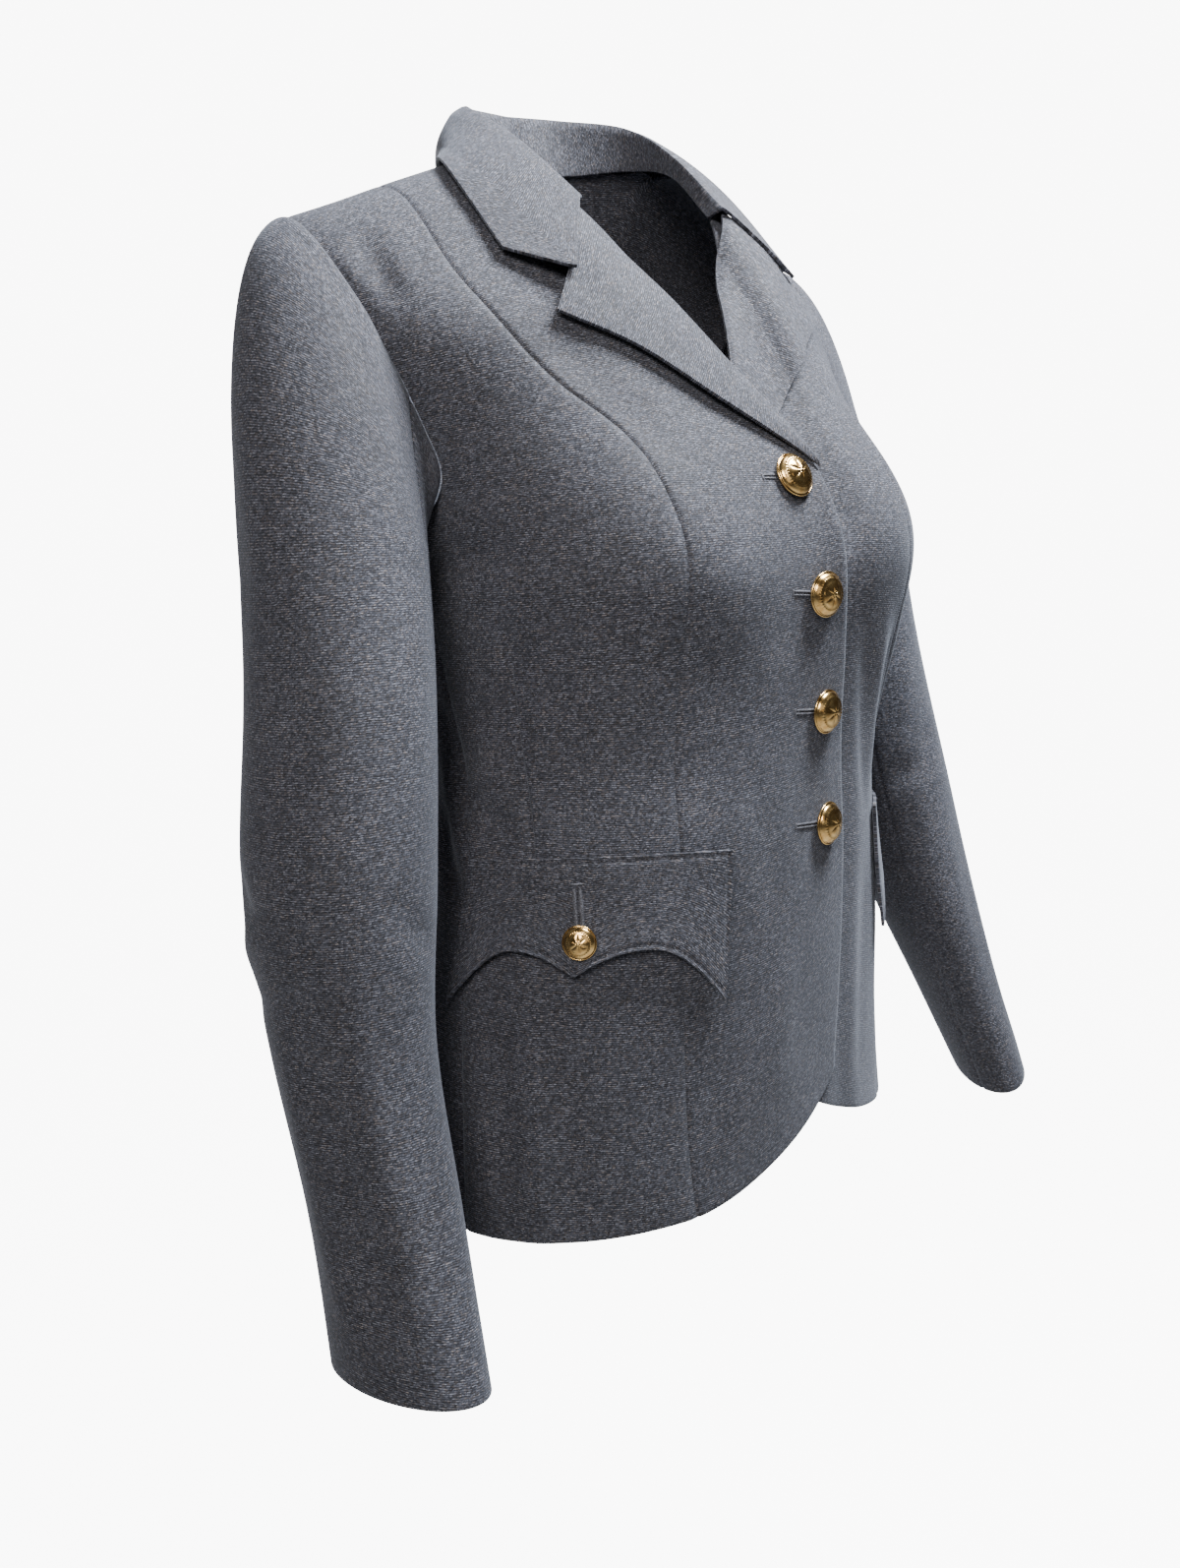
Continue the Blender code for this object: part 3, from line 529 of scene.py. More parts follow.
def pressed(points, side):
    """Body points with the folds of wear of that side raised or sunk along the normals."""
    height = np.zeros(points.shape[:2])
    for turn_1, z_1, turn_2, z_2, width, depth in BODY_FOLDS[side]:
        start = form_point(np.radians(turn_1), np.float64(z_1))
        end = form_point(np.radians(turn_2), np.float64(z_2))
        height += fold_height(points, start, end, width, depth)
    x, z = points[..., 0], points[..., 2]
    ripple = RIPPLE * np.sin(RIPPLE_UP * z + RIPPLE_LEAN * x) * np.sin(RIPPLE_ACROSS * x + RIPPLE_START)
    return points + normals(points) * (height + ripple)[..., None]


def crowded(count):
    """Shares from 0 to 1 that stand closer together at both ends."""
    even = np.linspace(0, 1, count)
    return 0.5 * even + 0.5 * (1 - np.cos(math.pi * even)) / 2


def between(inner, outer, share):
    """Turns that lie at each share of the way from the inner edge to the outer edge of every row."""
    return inner[:, None] + (outer - inner)[:, None] * share[None, :]


def patch(turn, hem, side, top=shoulder_z):
    """Points of a panel from the turns of its columns on each row, folded, and rolled in at its seams."""
    level = np.broadcast_to(PANEL_ROWS[:, None], turn.shape)
    z = level_z(level, np.full(turn.shape, 0.1), hem, top)
    for _ in range(16):
        z = level_z(level, form_x(turn, z), hem, top)
    points = pressed(form_point(turn, z), side)
    roll = SEAM_ROLL * bell(edge_distance(points), SEAM_ROLL_WIDTH)
    return points - normals(points) * roll[..., None]


def mirrored(points, left):
    """The same points on the wearer's left, with the rows turned round so that faces still point out."""
    if not left:
        return points
    return (points * np.array([-1, 1, 1]))[:, ::-1]


def color_ramp(tree, stops):
    """A colour ramp through its stops, each a place and a colour."""
    node = add_node(tree, "ValToRGB")
    elements = node.color_ramp.elements
    elements[0].position, elements[0].color = stops[0]
    elements[1].position, elements[1].color = stops[-1]
    for position, colour in stops[1:-1]:
        elements.new(position).color = colour
    return node


def barathea_group():
    """Weave of the cloth: short weft floats in broken ribs, each float of its own light or dark yarn.

    Long narrow cells give the floats, a sine along the warp the ribs between which they lie, a fine
    noise the fibres of the yarn, and a slow noise the unevenness of dye and wear.
    """
    group = bpy.data.node_groups.new("barathea", "ShaderNodeTree")
    group.interface.new_socket("Vector", in_out="INPUT", socket_type="NodeSocketVector")
    group.interface.new_socket("Color", in_out="OUTPUT", socket_type="NodeSocketColor")
    group.interface.new_socket("Height", in_out="OUTPUT", socket_type="NodeSocketFloat")
    group.interface.new_socket("Roughness", in_out="OUTPUT", socket_type="NodeSocketFloat")
    links = group.links
    entry = group.nodes.new("NodeGroupInput")
    leave = group.nodes.new("NodeGroupOutput")

    def drawn(kind, scale, values):
        """A texture on the cloth's map, drawn out by its own scales along weft and warp."""
        mapping = add_node(group, "Mapping", {"Scale": (*scale, 1.0), "Rotation": (0, 0, WEFT_SLANT)})
        texture = add_node(group, kind, values)
        links.new(entry.outputs["Vector"], mapping.inputs["Vector"])
        links.new(mapping.outputs["Vector"], texture.inputs["Vector"])
        return texture

    def ranged(value, low, high, start, end):
        """A value moved from one range to another."""
        node = add_node(group, "MapRange", {
            "From Min": low, "From Max": high, "To Min": start, "To Max": end})
        links.new(value, node.inputs["Value"])
        return node.outputs["Result"]

    def added(first, second):
        """The sum of two values."""
        node = add_node(group, "Math", operation="ADD")
        links.new(first, node.inputs[0])
        links.new(second, node.inputs[1])
        return node.outputs["Value"]

    floats = drawn("TexVoronoi", FLOATS, {"Scale": 1.0})
    fibres = drawn("TexNoise", FIBRES, {"Scale": 1.0})
    cloud = drawn("TexNoise", CLOUDS, {"Scale": 1.0})
    ribs = drawn("TexWave", (1.0, 1.0), {
        "Scale": math.pi / RIB_PITCH / 10, "Distortion": 2.2, "Detail": 1.0, "Detail Scale": 0.6})
    ribs.bands_direction = "Y"
    yarn = add_node(group, "SeparateColor")
    links.new(floats.outputs["Color"], yarn.inputs["Color"])
    tone = ranged(yarn.outputs["Red"], 0, 1, 0.0, 0.52)
    tone = added(tone, ranged(ribs.outputs["Fac"], 0, 1, 0, 0.30))
    tone = added(tone, ranged(fibres.outputs["Fac"], 0.3, 0.7, -0.11, 0.11))
    tone = added(tone, ranged(cloud.outputs["Fac"], 0.3, 0.7, 0.05, 0.09))
    shades = color_ramp(group, WOOL_STOPS)
    links.new(tone, shades.inputs["Fac"])
    warm = add_node(group, "Mix", data_type="RGBA", blend_type="MULTIPLY")
    warm.inputs["B"].default_value = WARM_FLOAT
    links.new(ranged(yarn.outputs["Green"], 0.70, 0.80, 0, 1), warm.inputs["Factor"])
    links.new(shades.outputs["Color"], warm.inputs["A"])
    links.new(warm.outputs["Result"], leave.inputs["Color"])
    links.new(tone, leave.inputs["Height"])
    links.new(ranged(cloud.outputs["Fac"], 0.3, 0.7, 0.70, 0.86), leave.inputs["Roughness"])
    return group


BARATHEA = barathea_group()


def wool(name):
    """Material of one cloth piece: barathea on the piece's own map, with a nap that shines at a slant."""
    made, tree, shader = new_material(name, {
        "Specular IOR Level": 0.25, "Sheen Weight": 0.22, "Sheen Roughness": 0.45,
        "Sheen Tint": (0.80, 0.86, 1.0, 1)})
    place = add_node(tree, "UVMap", uv_map="cloth")
    weave = add_node(tree, "Group", node_tree=BARATHEA)
    bump = add_node(tree, "Bump", {"Strength": 0.35, "Distance": 0.0004})
    tree.links.new(place.outputs["UV"], weave.inputs["Vector"])
    tree.links.new(weave.outputs["Color"], shader.inputs["Base Color"])
    tree.links.new(weave.outputs["Roughness"], shader.inputs["Roughness"])
    tree.links.new(weave.outputs["Height"], bump.inputs["Height"])
    tree.links.new(bump.outputs["Normal"], shader.inputs["Normal"])
    return made


def cut_size(points):
    """Width, length and area of the flat cut: the longest row and column and the sum of the cells."""
    across = np.diff(points, axis=1)
    along = np.diff(points, axis=0)
    width = run_along(points).max()
    length = run_along(points, 0).max()
    cells = np.linalg.norm(np.cross(across[:-1], along[:, :-1]), axis=-1)
    return float(width), float(length), float(cells.sum())


def cloth_mesh(name, points, material):
    """A grid of points as one open surface, with the map named cloth in metres along weft and warp."""
    rows, columns = points.shape[:2]
    faces = grid_faces(rows, columns)
    mesh = smooth_mesh(name, points, faces, material)
    weft = run_along(points)
    weft = weft - weft[:, columns // 2, None]
    warp = np.broadcast_to(run_along(points, 0).mean(1, keepdims=True), weft.shape)
    places = np.stack([weft, warp], -1).reshape(-1, 2)
    layer = mesh.uv_layers.new(name="cloth")
    layer.data.foreach_set("uv", places[faces.reshape(-1)].ravel())
    return mesh


SURFACES = {}


def cloth(node, points):
    """A cloth piece that stands for a solid: its outer surface, with a wall inside and softened edges."""
    points = settled(points)
    SURFACES[node] = points
    piece = put(f"{node}_cloth", cloth_mesh(f"{node}_cloth", points, wool(f"{node}_wool")))
    shell = piece.modifiers.new("wall", "SOLIDIFY")
    shell.thickness = CLOTH
    shell.offset = -1
    soft = piece.modifiers.new("soft_edge", "BEVEL")
    soft.width = SOFT_EDGE * CLOTH
    soft.segments = 2
    soft.limit_method = "ANGLE"
    soft.angle_limit = math.radians(55)
    width, length, area = cut_size(points)
    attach(piece, "root")
    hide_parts(node)


def tuck_depth(x, z):
    """How far the left front is set back behind the right one, more deeply under the lapel."""
    near = np.clip((TUCK_X - x) / TUCK_RAMP, 0, 1)
    under_lapel = np.clip((z - LAPEL_TUCK_Z) / LAPEL_TUCK_RAMP, 0, 1)
    return eased(near) * (UNDERLAP + LAPEL_UNDERLAP * eased(under_lapel))


for side, left in SIDES:
    edge = edge_turn(FRONT_EDGE, cutaway_hem)
    seam = edge_turn(PRINCESS, cutaway_hem)
    points = patch(between(edge, seam + BODY_LAP, crowded(48)), cutaway_hem, side)
    if left:
        points = points - normals(points) * tuck_depth(-points[..., 0], points[..., 2])[..., None]
    else:
        curl = CURL * bell(points[..., 2] - CURL_Z, CURL_HEIGHT) * bell(run_along(points), CURL_WIDTH)
        points = points + normals(points) * curl[..., None]
    cloth(f"front_{side}", stance(mirrored(points, left)))


# Side fronts: from the princess seam round to the side seam, cut out above for the armhole.
# A dart is sewn in each of them, from under the bust down into the top of the flap.

ARMHOLE_FRONT = ((-0.232, 0.1616), (-0.210, 0.1612), (-0.188, 0.1655), (-0.168, 0.1715), (-0.148, 0.1780),
                 (-0.126, 0.1835), (-0.104, 0.1890), (-0.084, 0.1935), (-0.064, 0.1985))
ARMHOLE_BACK = ((-0.232, 0.1616), (-0.210, 0.1590), (-0.188, 0.1610), (-0.148, 0.1690), (-0.104, 0.1800),
                (-0.084, 0.1890), (-0.064, 0.1985))
DART = ((-0.450, 74.2), (-0.434, 74.2), (-0.378, 74.6), (-0.314, 72.0), (-0.290, 71.0))
DART_TOP_Z = -0.298
DART_FOOT_Z = -0.442
DART_WIDTH = 0.0013
DART_DEPTH = 0.0022
DART_START = 6
DART_HOLLOW = 0.0010
DART_HOLLOW_WIDTH = 0.009
ARMHOLE_HOLLOW = 0.0004
ARMHOLE_HOLLOW_WIDTH = 0.005
ARMHOLE_HOLLOW_TOP_Z = -0.080


def armhole_turn(seam, back):
    """The side seam up to the underarm, then the armhole up to the shoulder."""
    turn = edge_turn(seam, flat_hem, back)
    return np.where(PANEL_ROWS <= 1, math.pi / 2, turn)


def flat_hem(x):
    """The level hem of the back and of the side fronts."""
    return HEM_Z + 0 * np.asarray(x)


def dart_turn(z):
    """Turn of the dart's line at each height."""
    return np.radians(table_value(DART, ("z", "degrees"), "degrees", z))


def darted(points):
    """Points sunk along the dart: a fine trough with a soft hollow that grows towards the waist."""
    z = points[..., 2]
    line = form_point(dart_turn(z), z)
    away = np.linalg.norm((points - line)[..., :2], axis=-1)
    share = np.clip((DART_TOP_Z - z) / (DART_TOP_Z - DART_FOOT_Z), 0, 1)
    fine = DART_DEPTH * bell(away, DART_WIDTH) * np.clip(share * DART_START, 0, 1)
    broad = DART_HOLLOW * (1 - 0.5 * share) * bell(away, DART_HOLLOW_WIDTH)
    inside = (z < DART_TOP_Z) & (z > DART_FOOT_Z - 0.01)
    return points - normals(points) * np.where(inside, fine + broad, 0)[..., None]


def hollowed(points, outer_last):
    """Points sunk beside the armhole and fading with the distance from it, their edge not rolled in."""
    run = run_along(points)
    run = run[:, -1:] - run if outer_last else run
    above = eased((points[..., 2] - UNDERARM_Z) / 0.03)
    below_top = eased((ARMHOLE_HOLLOW_TOP_Z - points[..., 2]) / 0.04)
    sink = ARMHOLE_HOLLOW * below_top * bell(run, ARMHOLE_HOLLOW_WIDTH)
    flat = SEAM_ROLL * bell(run, SEAM_ROLL_WIDTH)
    return points - normals(points) * (above * (sink - flat))[..., None]


for side, left in SIDES:
    seam = edge_turn(PRINCESS, flat_hem) - BODY_LAP
    outer = armhole_turn(ARMHOLE_FRONT, False) + BODY_LAP
    dart = dart_turn(level_z(PANEL_ROWS, np.full(PANEL_ROWS.shape, 0.15), flat_hem))
    fold = np.minimum(dart, seam + 0.78 * (outer - seam))
    tight = np.linspace(0, 1, 40) ** 1.7
    near = between(seam, fold, 1 - tight[::-1])
    far = between(fold, outer, np.linspace(0, 1, 26) ** 1.5)[:, 1:]
    points = patch(np.concatenate([near, far], 1), flat_hem, side)
    points = hollowed(darted(points), True)
    cloth(f"side_front_{side}", stance(mirrored(points, left)))


# Backs: two plain panels of the same wool, from the side seams to the neck, hidden in the photo.
# They are sewn together down the centre back, and to the fronts at the sides and shoulders.

def back_top_z(x):
    """Top edge of the back: the neckline, then the shoulder seam."""
    inside = np.clip(1 - (np.abs(x) / NECK_X) ** 2, 0, 1)
    return np.where(np.abs(x) < NECK_X, NECK_Z + BACK_NECK_RISE * np.sqrt(inside), shoulder_z(x))


for side, left in SIDES:
    seam = armhole_turn(ARMHOLE_BACK, True) - BODY_LAP
    centre = np.full(PANEL_ROWS.shape, math.pi + BODY_LAP)
    points = hollowed(patch(between(seam, centre, crowded(60)), flat_hem, side, back_top_z), False)
    cloth(f"back_{side}", stance(mirrored(points, left)))


# Lapels: the turned-out tops of the fronts, folded along the roll line with a soft, thick edge.
# The right one stands clear of its front below the notch; the left one is closed under it.

LAPEL_COLUMNS = ("along", "roll_x", "roll_z", "edge_x", "edge_z", "roll_lift", "edge_lift")
LAPEL_ROWS = (
    (0.00, -0.0255, -0.2330, -0.0255, -0.2390, 0.0027, 0.0028),
    (0.10, -0.0215, -0.2200, -0.0170, -0.2300, 0.0027, 0.0034),
    (0.35, 0.0040, -0.1720, 0.0260, -0.1990, 0.0030, 0.0060),
    (0.70, 0.0300, -0.1200, 0.0680, -0.1640, 0.0040, 0.0065),
    (1.00, 0.0560, -0.0760, 0.1040, -0.1440, 0.0070, 0.0060),
)
LAPEL_TOP = ((0.00, 0.0560, -0.0760), (0.70, 0.0835, -0.1175), (1.00, 0.1035, -0.1410))
LAPEL_BELLY = 0.0015
LAPEL_GORGE = 0.0040
LAPEL_TURN_IN = 0.0018
LAPEL_TURN_WIDTH = 0.045
LEFT_LAPEL_CLOSE_X = 0.064
LEFT_LAPEL_RAMP = 0.022
LEFT_LAPEL_SLACK = 0.0100


def lapel_size(column, along):
    """One column of the lapel's table."""
    return table_value(LAPEL_ROWS, LAPEL_COLUMNS, column, along)


def lapel_points(left):
    """A lapel: straight lines from the roll line to its edge, drawn up to the gorge and the notch."""
    along = np.linspace(0, 1, 90)[:, None]
    share = crowded(44)[None, :]
    pull = along ** 4

    def across(name, at):
        """A straight line from the roll line's value to the edge's."""
        return lapel_size(f"roll_{name}", at) * (1 - share) + lapel_size(f"edge_{name}", at) * share

    shares, top_x, top_z = zip(*LAPEL_TOP)
    x = across("x", along) + pull * (np.interp(share, shares, top_x) - across("x", 1.0))
    z = across("z", along) + pull * (np.interp(share, shares, top_z) - across("z", 1.0))
    lift = across("lift", along) + LAPEL_BELLY * np.sin(math.pi * share)
    lift = lift + LAPEL_GORGE * pull * np.sin(math.pi * np.clip(share / 0.8, 0, 1))
    points = form_point(turn_at(x, z), z)
    out = normals(points)
    if left:
        close = np.clip((LEFT_LAPEL_CLOSE_X - x) / LEFT_LAPEL_RAMP, 0, 1)
        slack = LEFT_LAPEL_SLACK * close * (1 - close)
        lift = lift * (1 - close) + (CLOTH + 3 * LIFT) * close + slack - tuck_depth(x, z)
    lift = lift - LAPEL_TURN_IN * bell(share, LAPEL_TURN_WIDTH)
    return points + out * lift[..., None]


for side, left in SIDES:
    cloth(f"lapel_{side}", mirrored(lapel_points(left), left))


# Collar: one piece of wool that rises from the neck seam as a stand, folds over and falls to its points.
# It is sewn round the neck, and along the gorge to the lapels.

COLLAR_COLUMNS = ("along", "seam_x", "seam_y", "seam_z", "roll_x", "roll_y", "roll_z",
                  "edge_x", "edge_y", "edge_z")
COLLAR_ROWS = (
    (0.00, 0.000, 0.0655, -0.0135, 0.000, 0.0680, 0.0230, 0.000, 0.1010, -0.0240),
    (0.25, 0.035, 0.0545, -0.0150, 0.034, 0.0580, 0.0200, 0.045, 0.0850, -0.0240),
    (0.50, 0.062, 0.0245, -0.0200, 0.062, 0.0240, 0.0050, 0.078, 0.0400, -0.0220),
    (0.75, 0.064, -0.0120, -0.0360, 0.062, -0.0160, -0.0260, 0.110, -0.0120, -0.0440),
    (1.00, 0.054, -0.0480, -0.0740, 0.0560, -0.0580, -0.0720, 0.1135, -0.0560, -0.1010),
)
COLLAR_APEX = (0.0840, -0.0800, -0.1160)
COLLAR_APEX_SHARE = 0.70
COLLAR_FOLD = 0.0050
COLLAR_BELLY = 0.0055
COLLAR_FLATTENING = 0.5
COLLAR_AXIS_Y = 0.020


def collar_guide(kind, along):
    """Points of one of the collar's guide curves: seam, roll or edge."""
    values = [table_value(COLLAR_ROWS, COLLAR_COLUMNS, f"{kind}_{axis}", along) for axis in "xyz"]
    return np.stack(values, -1)


def collar_points():
    """The right half of the collar, from the centre back to the gorge, and then the whole by mirroring."""
    along = np.linspace(0, 1, 70)
    seam, roll, edge = (collar_guide(kind, along)[:, None, :] for kind in ("seam", "roll", "edge"))
    stand = np.linspace(0, 1, 12)[None, :, None]
    fall = crowded(44)[None, 1:, None]
    outward = unit((roll + edge) / 2 - np.array([0.0, COLLAR_AXIS_Y, 0.0]))
    inner = seam + (roll - seam) * stand
    pull = (along ** 6)[:, None, None]
    full = 1 - COLLAR_FLATTENING * pull
    start = roll + outward * full * COLLAR_FOLD * np.sin(np.clip(fall / 0.12, 0, 1) * math.pi / 2)
    belly = outward * full * COLLAR_BELLY * np.sin(math.pi * fall)
    corner = np.interp(fall, [0, COLLAR_APEX_SHARE, 1], [0, 1, 0])
    dip = np.array(COLLAR_APEX) - (roll[-1] + (edge[-1] - roll[-1]) * COLLAR_APEX_SHARE)
    outer = start + (edge - start) * fall + belly + pull * corner * dip
    half = np.concatenate([inner, outer], 1) * np.array([-1, 1, 1])
    other = half[:0:-1] * np.array([-1, 1, 1])
    return np.concatenate([other, half], 0)


cloth("collar", collar_points())


# Sleeves: an upper and an under piece on each arm, joined by a front and a back seam.
# The head is eased into the armhole and stands up in a soft ridge; folds gather at the bent elbow.

SLEEVE_COLUMNS = ("z", "centre_x", "centre_y", "radius_x", "radius_y", "twist_degrees")
SLEEVE_ROWS = {
    "right": (
        (-0.7000, 0.292, -0.056, 0.0280, 0.0500, 18),
        (-0.5900, 0.276, -0.032, 0.0330, 0.0490, 14),
        (-0.5000, 0.267, -0.015, 0.0400, 0.0510, 10),
        (-0.4200, 0.2545, -0.009, 0.0490, 0.0595, 5),
        (-0.3070, 0.2290, -0.005, 0.0490, 0.0600, 0),
        (-0.2450, 0.217, -0.001, 0.0490, 0.0560, 0),
    ),
    "left": (
        (-0.7300, 0.281, -0.018, 0.0230, 0.0490, 34),
        (-0.6500, 0.267, -0.005, 0.0290, 0.0490, 28),
        (-0.5700, 0.251, 0.006, 0.0360, 0.0500, 20),
        (-0.4700, 0.237, 0.018, 0.0430, 0.0530, 10),
        (-0.3500, 0.225, 0.030, 0.0480, 0.0560, 0),
        (-0.2450, 0.215, 0.026, 0.0480, 0.0560, 0),
    ),
}
CUFF_Z = {"right": -0.672, "left": -0.721}
CUFF_RISE = 0.25
CUFF_RAMP = 0.12
BICEPS_Z = -0.250
HEAD_PARTING = -0.0014
UNDERARM_PARTING = 0.0014
HEAD_REACH = 0.040
UNDERARM_REACH = 0.006
HEAD_RIDGE = 0.0016
HEAD_RIDGE_FROM_SEAM = 0.007
HEAD_RIDGE_WIDTH = 0.0045
HEAD_RIDGE_TURN = math.radians(62)
HEAD_RIDGE_SPREAD = math.radians(42)
HEAD_SINK = 0.0004
HEAD_SINK_WIDTH = 0.0030
HEAD_SINK_RAMP = 0.7
FRONT_SEAM = math.radians(140)
BACK_SEAM = math.radians(292)

# Folds of the sleeves: turn round the arm in degrees and height, from and to, then width and depth
SLEEVE_FOLDS = {
    "right": (
        (330, -0.405, 20, -0.440, 0.010, -0.0030),
        (318, -0.445, 20, -0.425, 0.009, 0.0024),
        (312, -0.470, 30, -0.468, 0.010, -0.0028),
        (80, -0.420, 120, -0.455, 0.010, -0.0026),
        (60, -0.300, 64, -0.420, 0.014, 0.0014),
        (20, -0.250, 16, -0.400, 0.018, -0.0016),
        (20, -0.470, 24, -0.640, 0.012, -0.0026),
        (48, -0.440, 52, -0.650, 0.012, 0.0022),
        (350, -0.500, 352, -0.650, 0.012, 0.0020),
        (84, -0.500, 84, -0.640, 0.012, -0.0014),
        (240, -0.420, 200, -0.470, 0.012, -0.0030),
        (250, -0.460, 195, -0.440, 0.011, 0.0024),
        (340, -0.170, 345, -0.300, 0.014, -0.0018),
        (110, -0.240, 95, -0.320, 0.012, -0.0020),
    ),
    "left": (
        (330, -0.420, 20, -0.455, 0.010, -0.0028),
        (315, -0.455, 25, -0.440, 0.010, 0.0024),
        (80, -0.430, 130, -0.470, 0.010, -0.0028),
        (100, -0.350, 110, -0.520, 0.011, 0.0022),
        (70, -0.480, 66, -0.680, 0.012, -0.0024),
        (110, -0.520, 104, -0.690, 0.012, 0.0020),
        (20, -0.500, 26, -0.680, 0.012, -0.0022),
        (240, -0.430, 200, -0.480, 0.012, -0.0030),
        (340, -0.180, 345, -0.320, 0.014, -0.0018),
        (100, -0.250, 90, -0.340, 0.012, -0.0020),
    ),
}


def sleeve_size(rows, column, z):
    """One column of a sleeve's table."""
    return table_value(rows, SLEEVE_COLUMNS, column, z)


def armhole(turn):
    """Points of the armhole: turn 0 at the shoulder, a quarter at the front, half at the underarm."""
    row = 2 - np.minimum(turn, 2 * math.pi - turn) / math.pi
    points = np.empty(turn.shape + (3,))
    for seam, back in ((ARMHOLE_FRONT, False), (ARMHOLE_BACK, True)):
        here = (turn > math.pi) == back
        x, z = seam_crossing(row, seam, flat_hem)
        points[here] = form_point(turn_at(x, z, back), z)[here]
    return points


def arm_ring(rows, turn, z, cuff_z):
    """An oval ring of the sleeve round the arm, level above and tilted at the cuff."""
    twist = np.radians(sleeve_size(rows, "twist_degrees", z))
    wide = sleeve_size(rows, "radius_x", z) * np.cos(turn)
    deep = -sleeve_size(rows, "radius_y", z) * np.sin(turn)
    across = wide * np.cos(twist) + deep * np.sin(twist)
    backward = deep * np.cos(twist) - wide * np.sin(twist)
    low = eased(1 - (z - cuff_z) / CUFF_RAMP)
    x = -(sleeve_size(rows, "centre_x", z) + across)
    y = sleeve_size(rows, "centre_y", z) + backward
    return np.stack([x, y, z + low * CUFF_RISE * across], -1)


def sleeve_points(side, turn):
    """Columns of a sleeve: a curve from the armhole over the head, rings to the cuff, then the folds."""
    rows = SLEEVE_ROWS[side]
    cuff_z = CUFF_Z[side]
    hole = armhole(turn)
    biceps = arm_ring(rows, turn, np.full(turn.shape, BICEPS_Z), cuff_z)
    over = (1 + np.cos(turn)) / 2
    reach = UNDERARM_REACH + (HEAD_REACH - UNDERARM_REACH) * over ** 0.8
    outward = unit(np.stack([-0.35 - 0.65 * over, -0.62 * np.sin(turn), 0.5 * over - 0.4], -1))
    start = hole + outward * (HEAD_PARTING + UNDERARM_PARTING * (1 - over))[:, None]
    control = hole + outward * reach[:, None]
    head = np.linspace(0, 1, 64)[:, None, None] ** 1.2
    cap = (1 - head) ** 2 * start + 2 * head * (1 - head) * control + head ** 2 * biceps
    heights = np.linspace(BICEPS_Z, cuff_z, 120)[1:, None]
    arm = arm_ring(rows, turn[None, :], heights, cuff_z)
    points = np.concatenate([cap, arm])[::-1, ::-1]
    height = np.zeros(points.shape[:2])
    for turn_1, z_1, turn_2, z_2, width, depth in SLEEVE_FOLDS[side]:
        start = arm_ring(rows, np.radians(turn_1), np.float64(z_1), cuff_z)
        end = arm_ring(rows, np.radians(turn_2), np.float64(z_2), cuff_z)
        height += fold_height(points, start, end, width, depth)
    from_cuff = run_along(points, 0)
    from_seam = from_cuff[-1] - from_cuff
    round_ = np.minimum(turn, 2 * math.pi - turn)[::-1]
    crest = bell(round_ - HEAD_RIDGE_TURN, HEAD_RIDGE_SPREAD)
    ridge = HEAD_RIDGE * crest * bell(from_seam - HEAD_RIDGE_FROM_SEAM, HEAD_RIDGE_WIDTH)
    sink = HEAD_SINK * eased(round_ / HEAD_SINK_RAMP) * bell(from_seam, HEAD_SINK_WIDTH)
    roll = SEAM_ROLL * bell(edge_distance(points), SEAM_ROLL_WIDTH)
    return points + normals(points) * (height + ridge - sink - roll)[..., None]


sleeve_lap = SEAM_LAP / 0.045
upper_width = FRONT_SEAM - BACK_SEAM + 2 * math.pi + 2 * sleeve_lap
under_width = BACK_SEAM - FRONT_SEAM + 2 * sleeve_lap
upper_turn = BACK_SEAM - 2 * math.pi - sleeve_lap + upper_width * crowded(84)
under_turn = FRONT_SEAM - sleeve_lap + under_width * crowded(56)
for side, left in SIDES:
    for kind, turn in (("top_sleeve", upper_turn % (2 * math.pi)), ("under_sleeve", under_turn)):
        points = sleeve_points(side, turn)
        cloth(f"{kind}_{side}", mirrored(points, left))


# Pocket flaps: one on each hip, with two arches and a point along the lower edge.
# Each is sewn down along its top and held at its point by a small button.

FLAP_TOP_Z = -0.4425
FLAP_CROWN = 0.0030
FLAP_RISE = 0.0040
FLAP_FRONT_X = 0.079
FLAP_FRONT_SLANT = 0.006
FLAP_SIDE_TURN = math.radians(89)
FLAP_SIDE_FLARE = math.radians(3)
FLAP_LEAN = 0.13
FLAP_DEPTH = {"corner": 0.082, "arch": 0.050, "point": 0.064}
ARCH_PLACE = 0.50
FLAP_FLY = 0.0032
FLAP_ENDS_FLY = 0.0015
FLAP_BUTTON_DOWN = 0.70
FLAP_HOLE = (0.09, 0.26)
STITCH_INSET = 0.0026
STITCH_GROOVE = 0.0006
STITCH_GROOVE_WIDTH = 0.0011
STITCH_STEP = 0.0026
STITCH_SIZE = (0.00095, 0.00036, 0.00034)
FLAP_HOLE_WIDTH = 0.0056
CORD_HEIGHT = 0.0009
BAR_WIDTH = 0.0012
BAR_HEIGHT = 0.0007
THREAD_STOPS = ((0.35, (0.022, 0.023, 0.030, 1)), (0.65, (0.170, 0.172, 0.200, 1)))


def flap_depth(across):
    """Depth of the flap at a place across it, from -1 to 1: two parabolas that meet at the arch."""
    out = np.abs(across)
    inner = FLAP_DEPTH["point"] - FLAP_DEPTH["arch"]
    outer = FLAP_DEPTH["corner"] - FLAP_DEPTH["arch"]
    near = FLAP_DEPTH["arch"] + inner * ((ARCH_PLACE - out) / ARCH_PLACE) ** 2
    far = FLAP_DEPTH["arch"] + outer * (np.clip(out - ARCH_PLACE, 0, 1) / (1 - ARCH_PLACE)) ** 2
    return np.where(out < ARCH_PLACE, near, far)


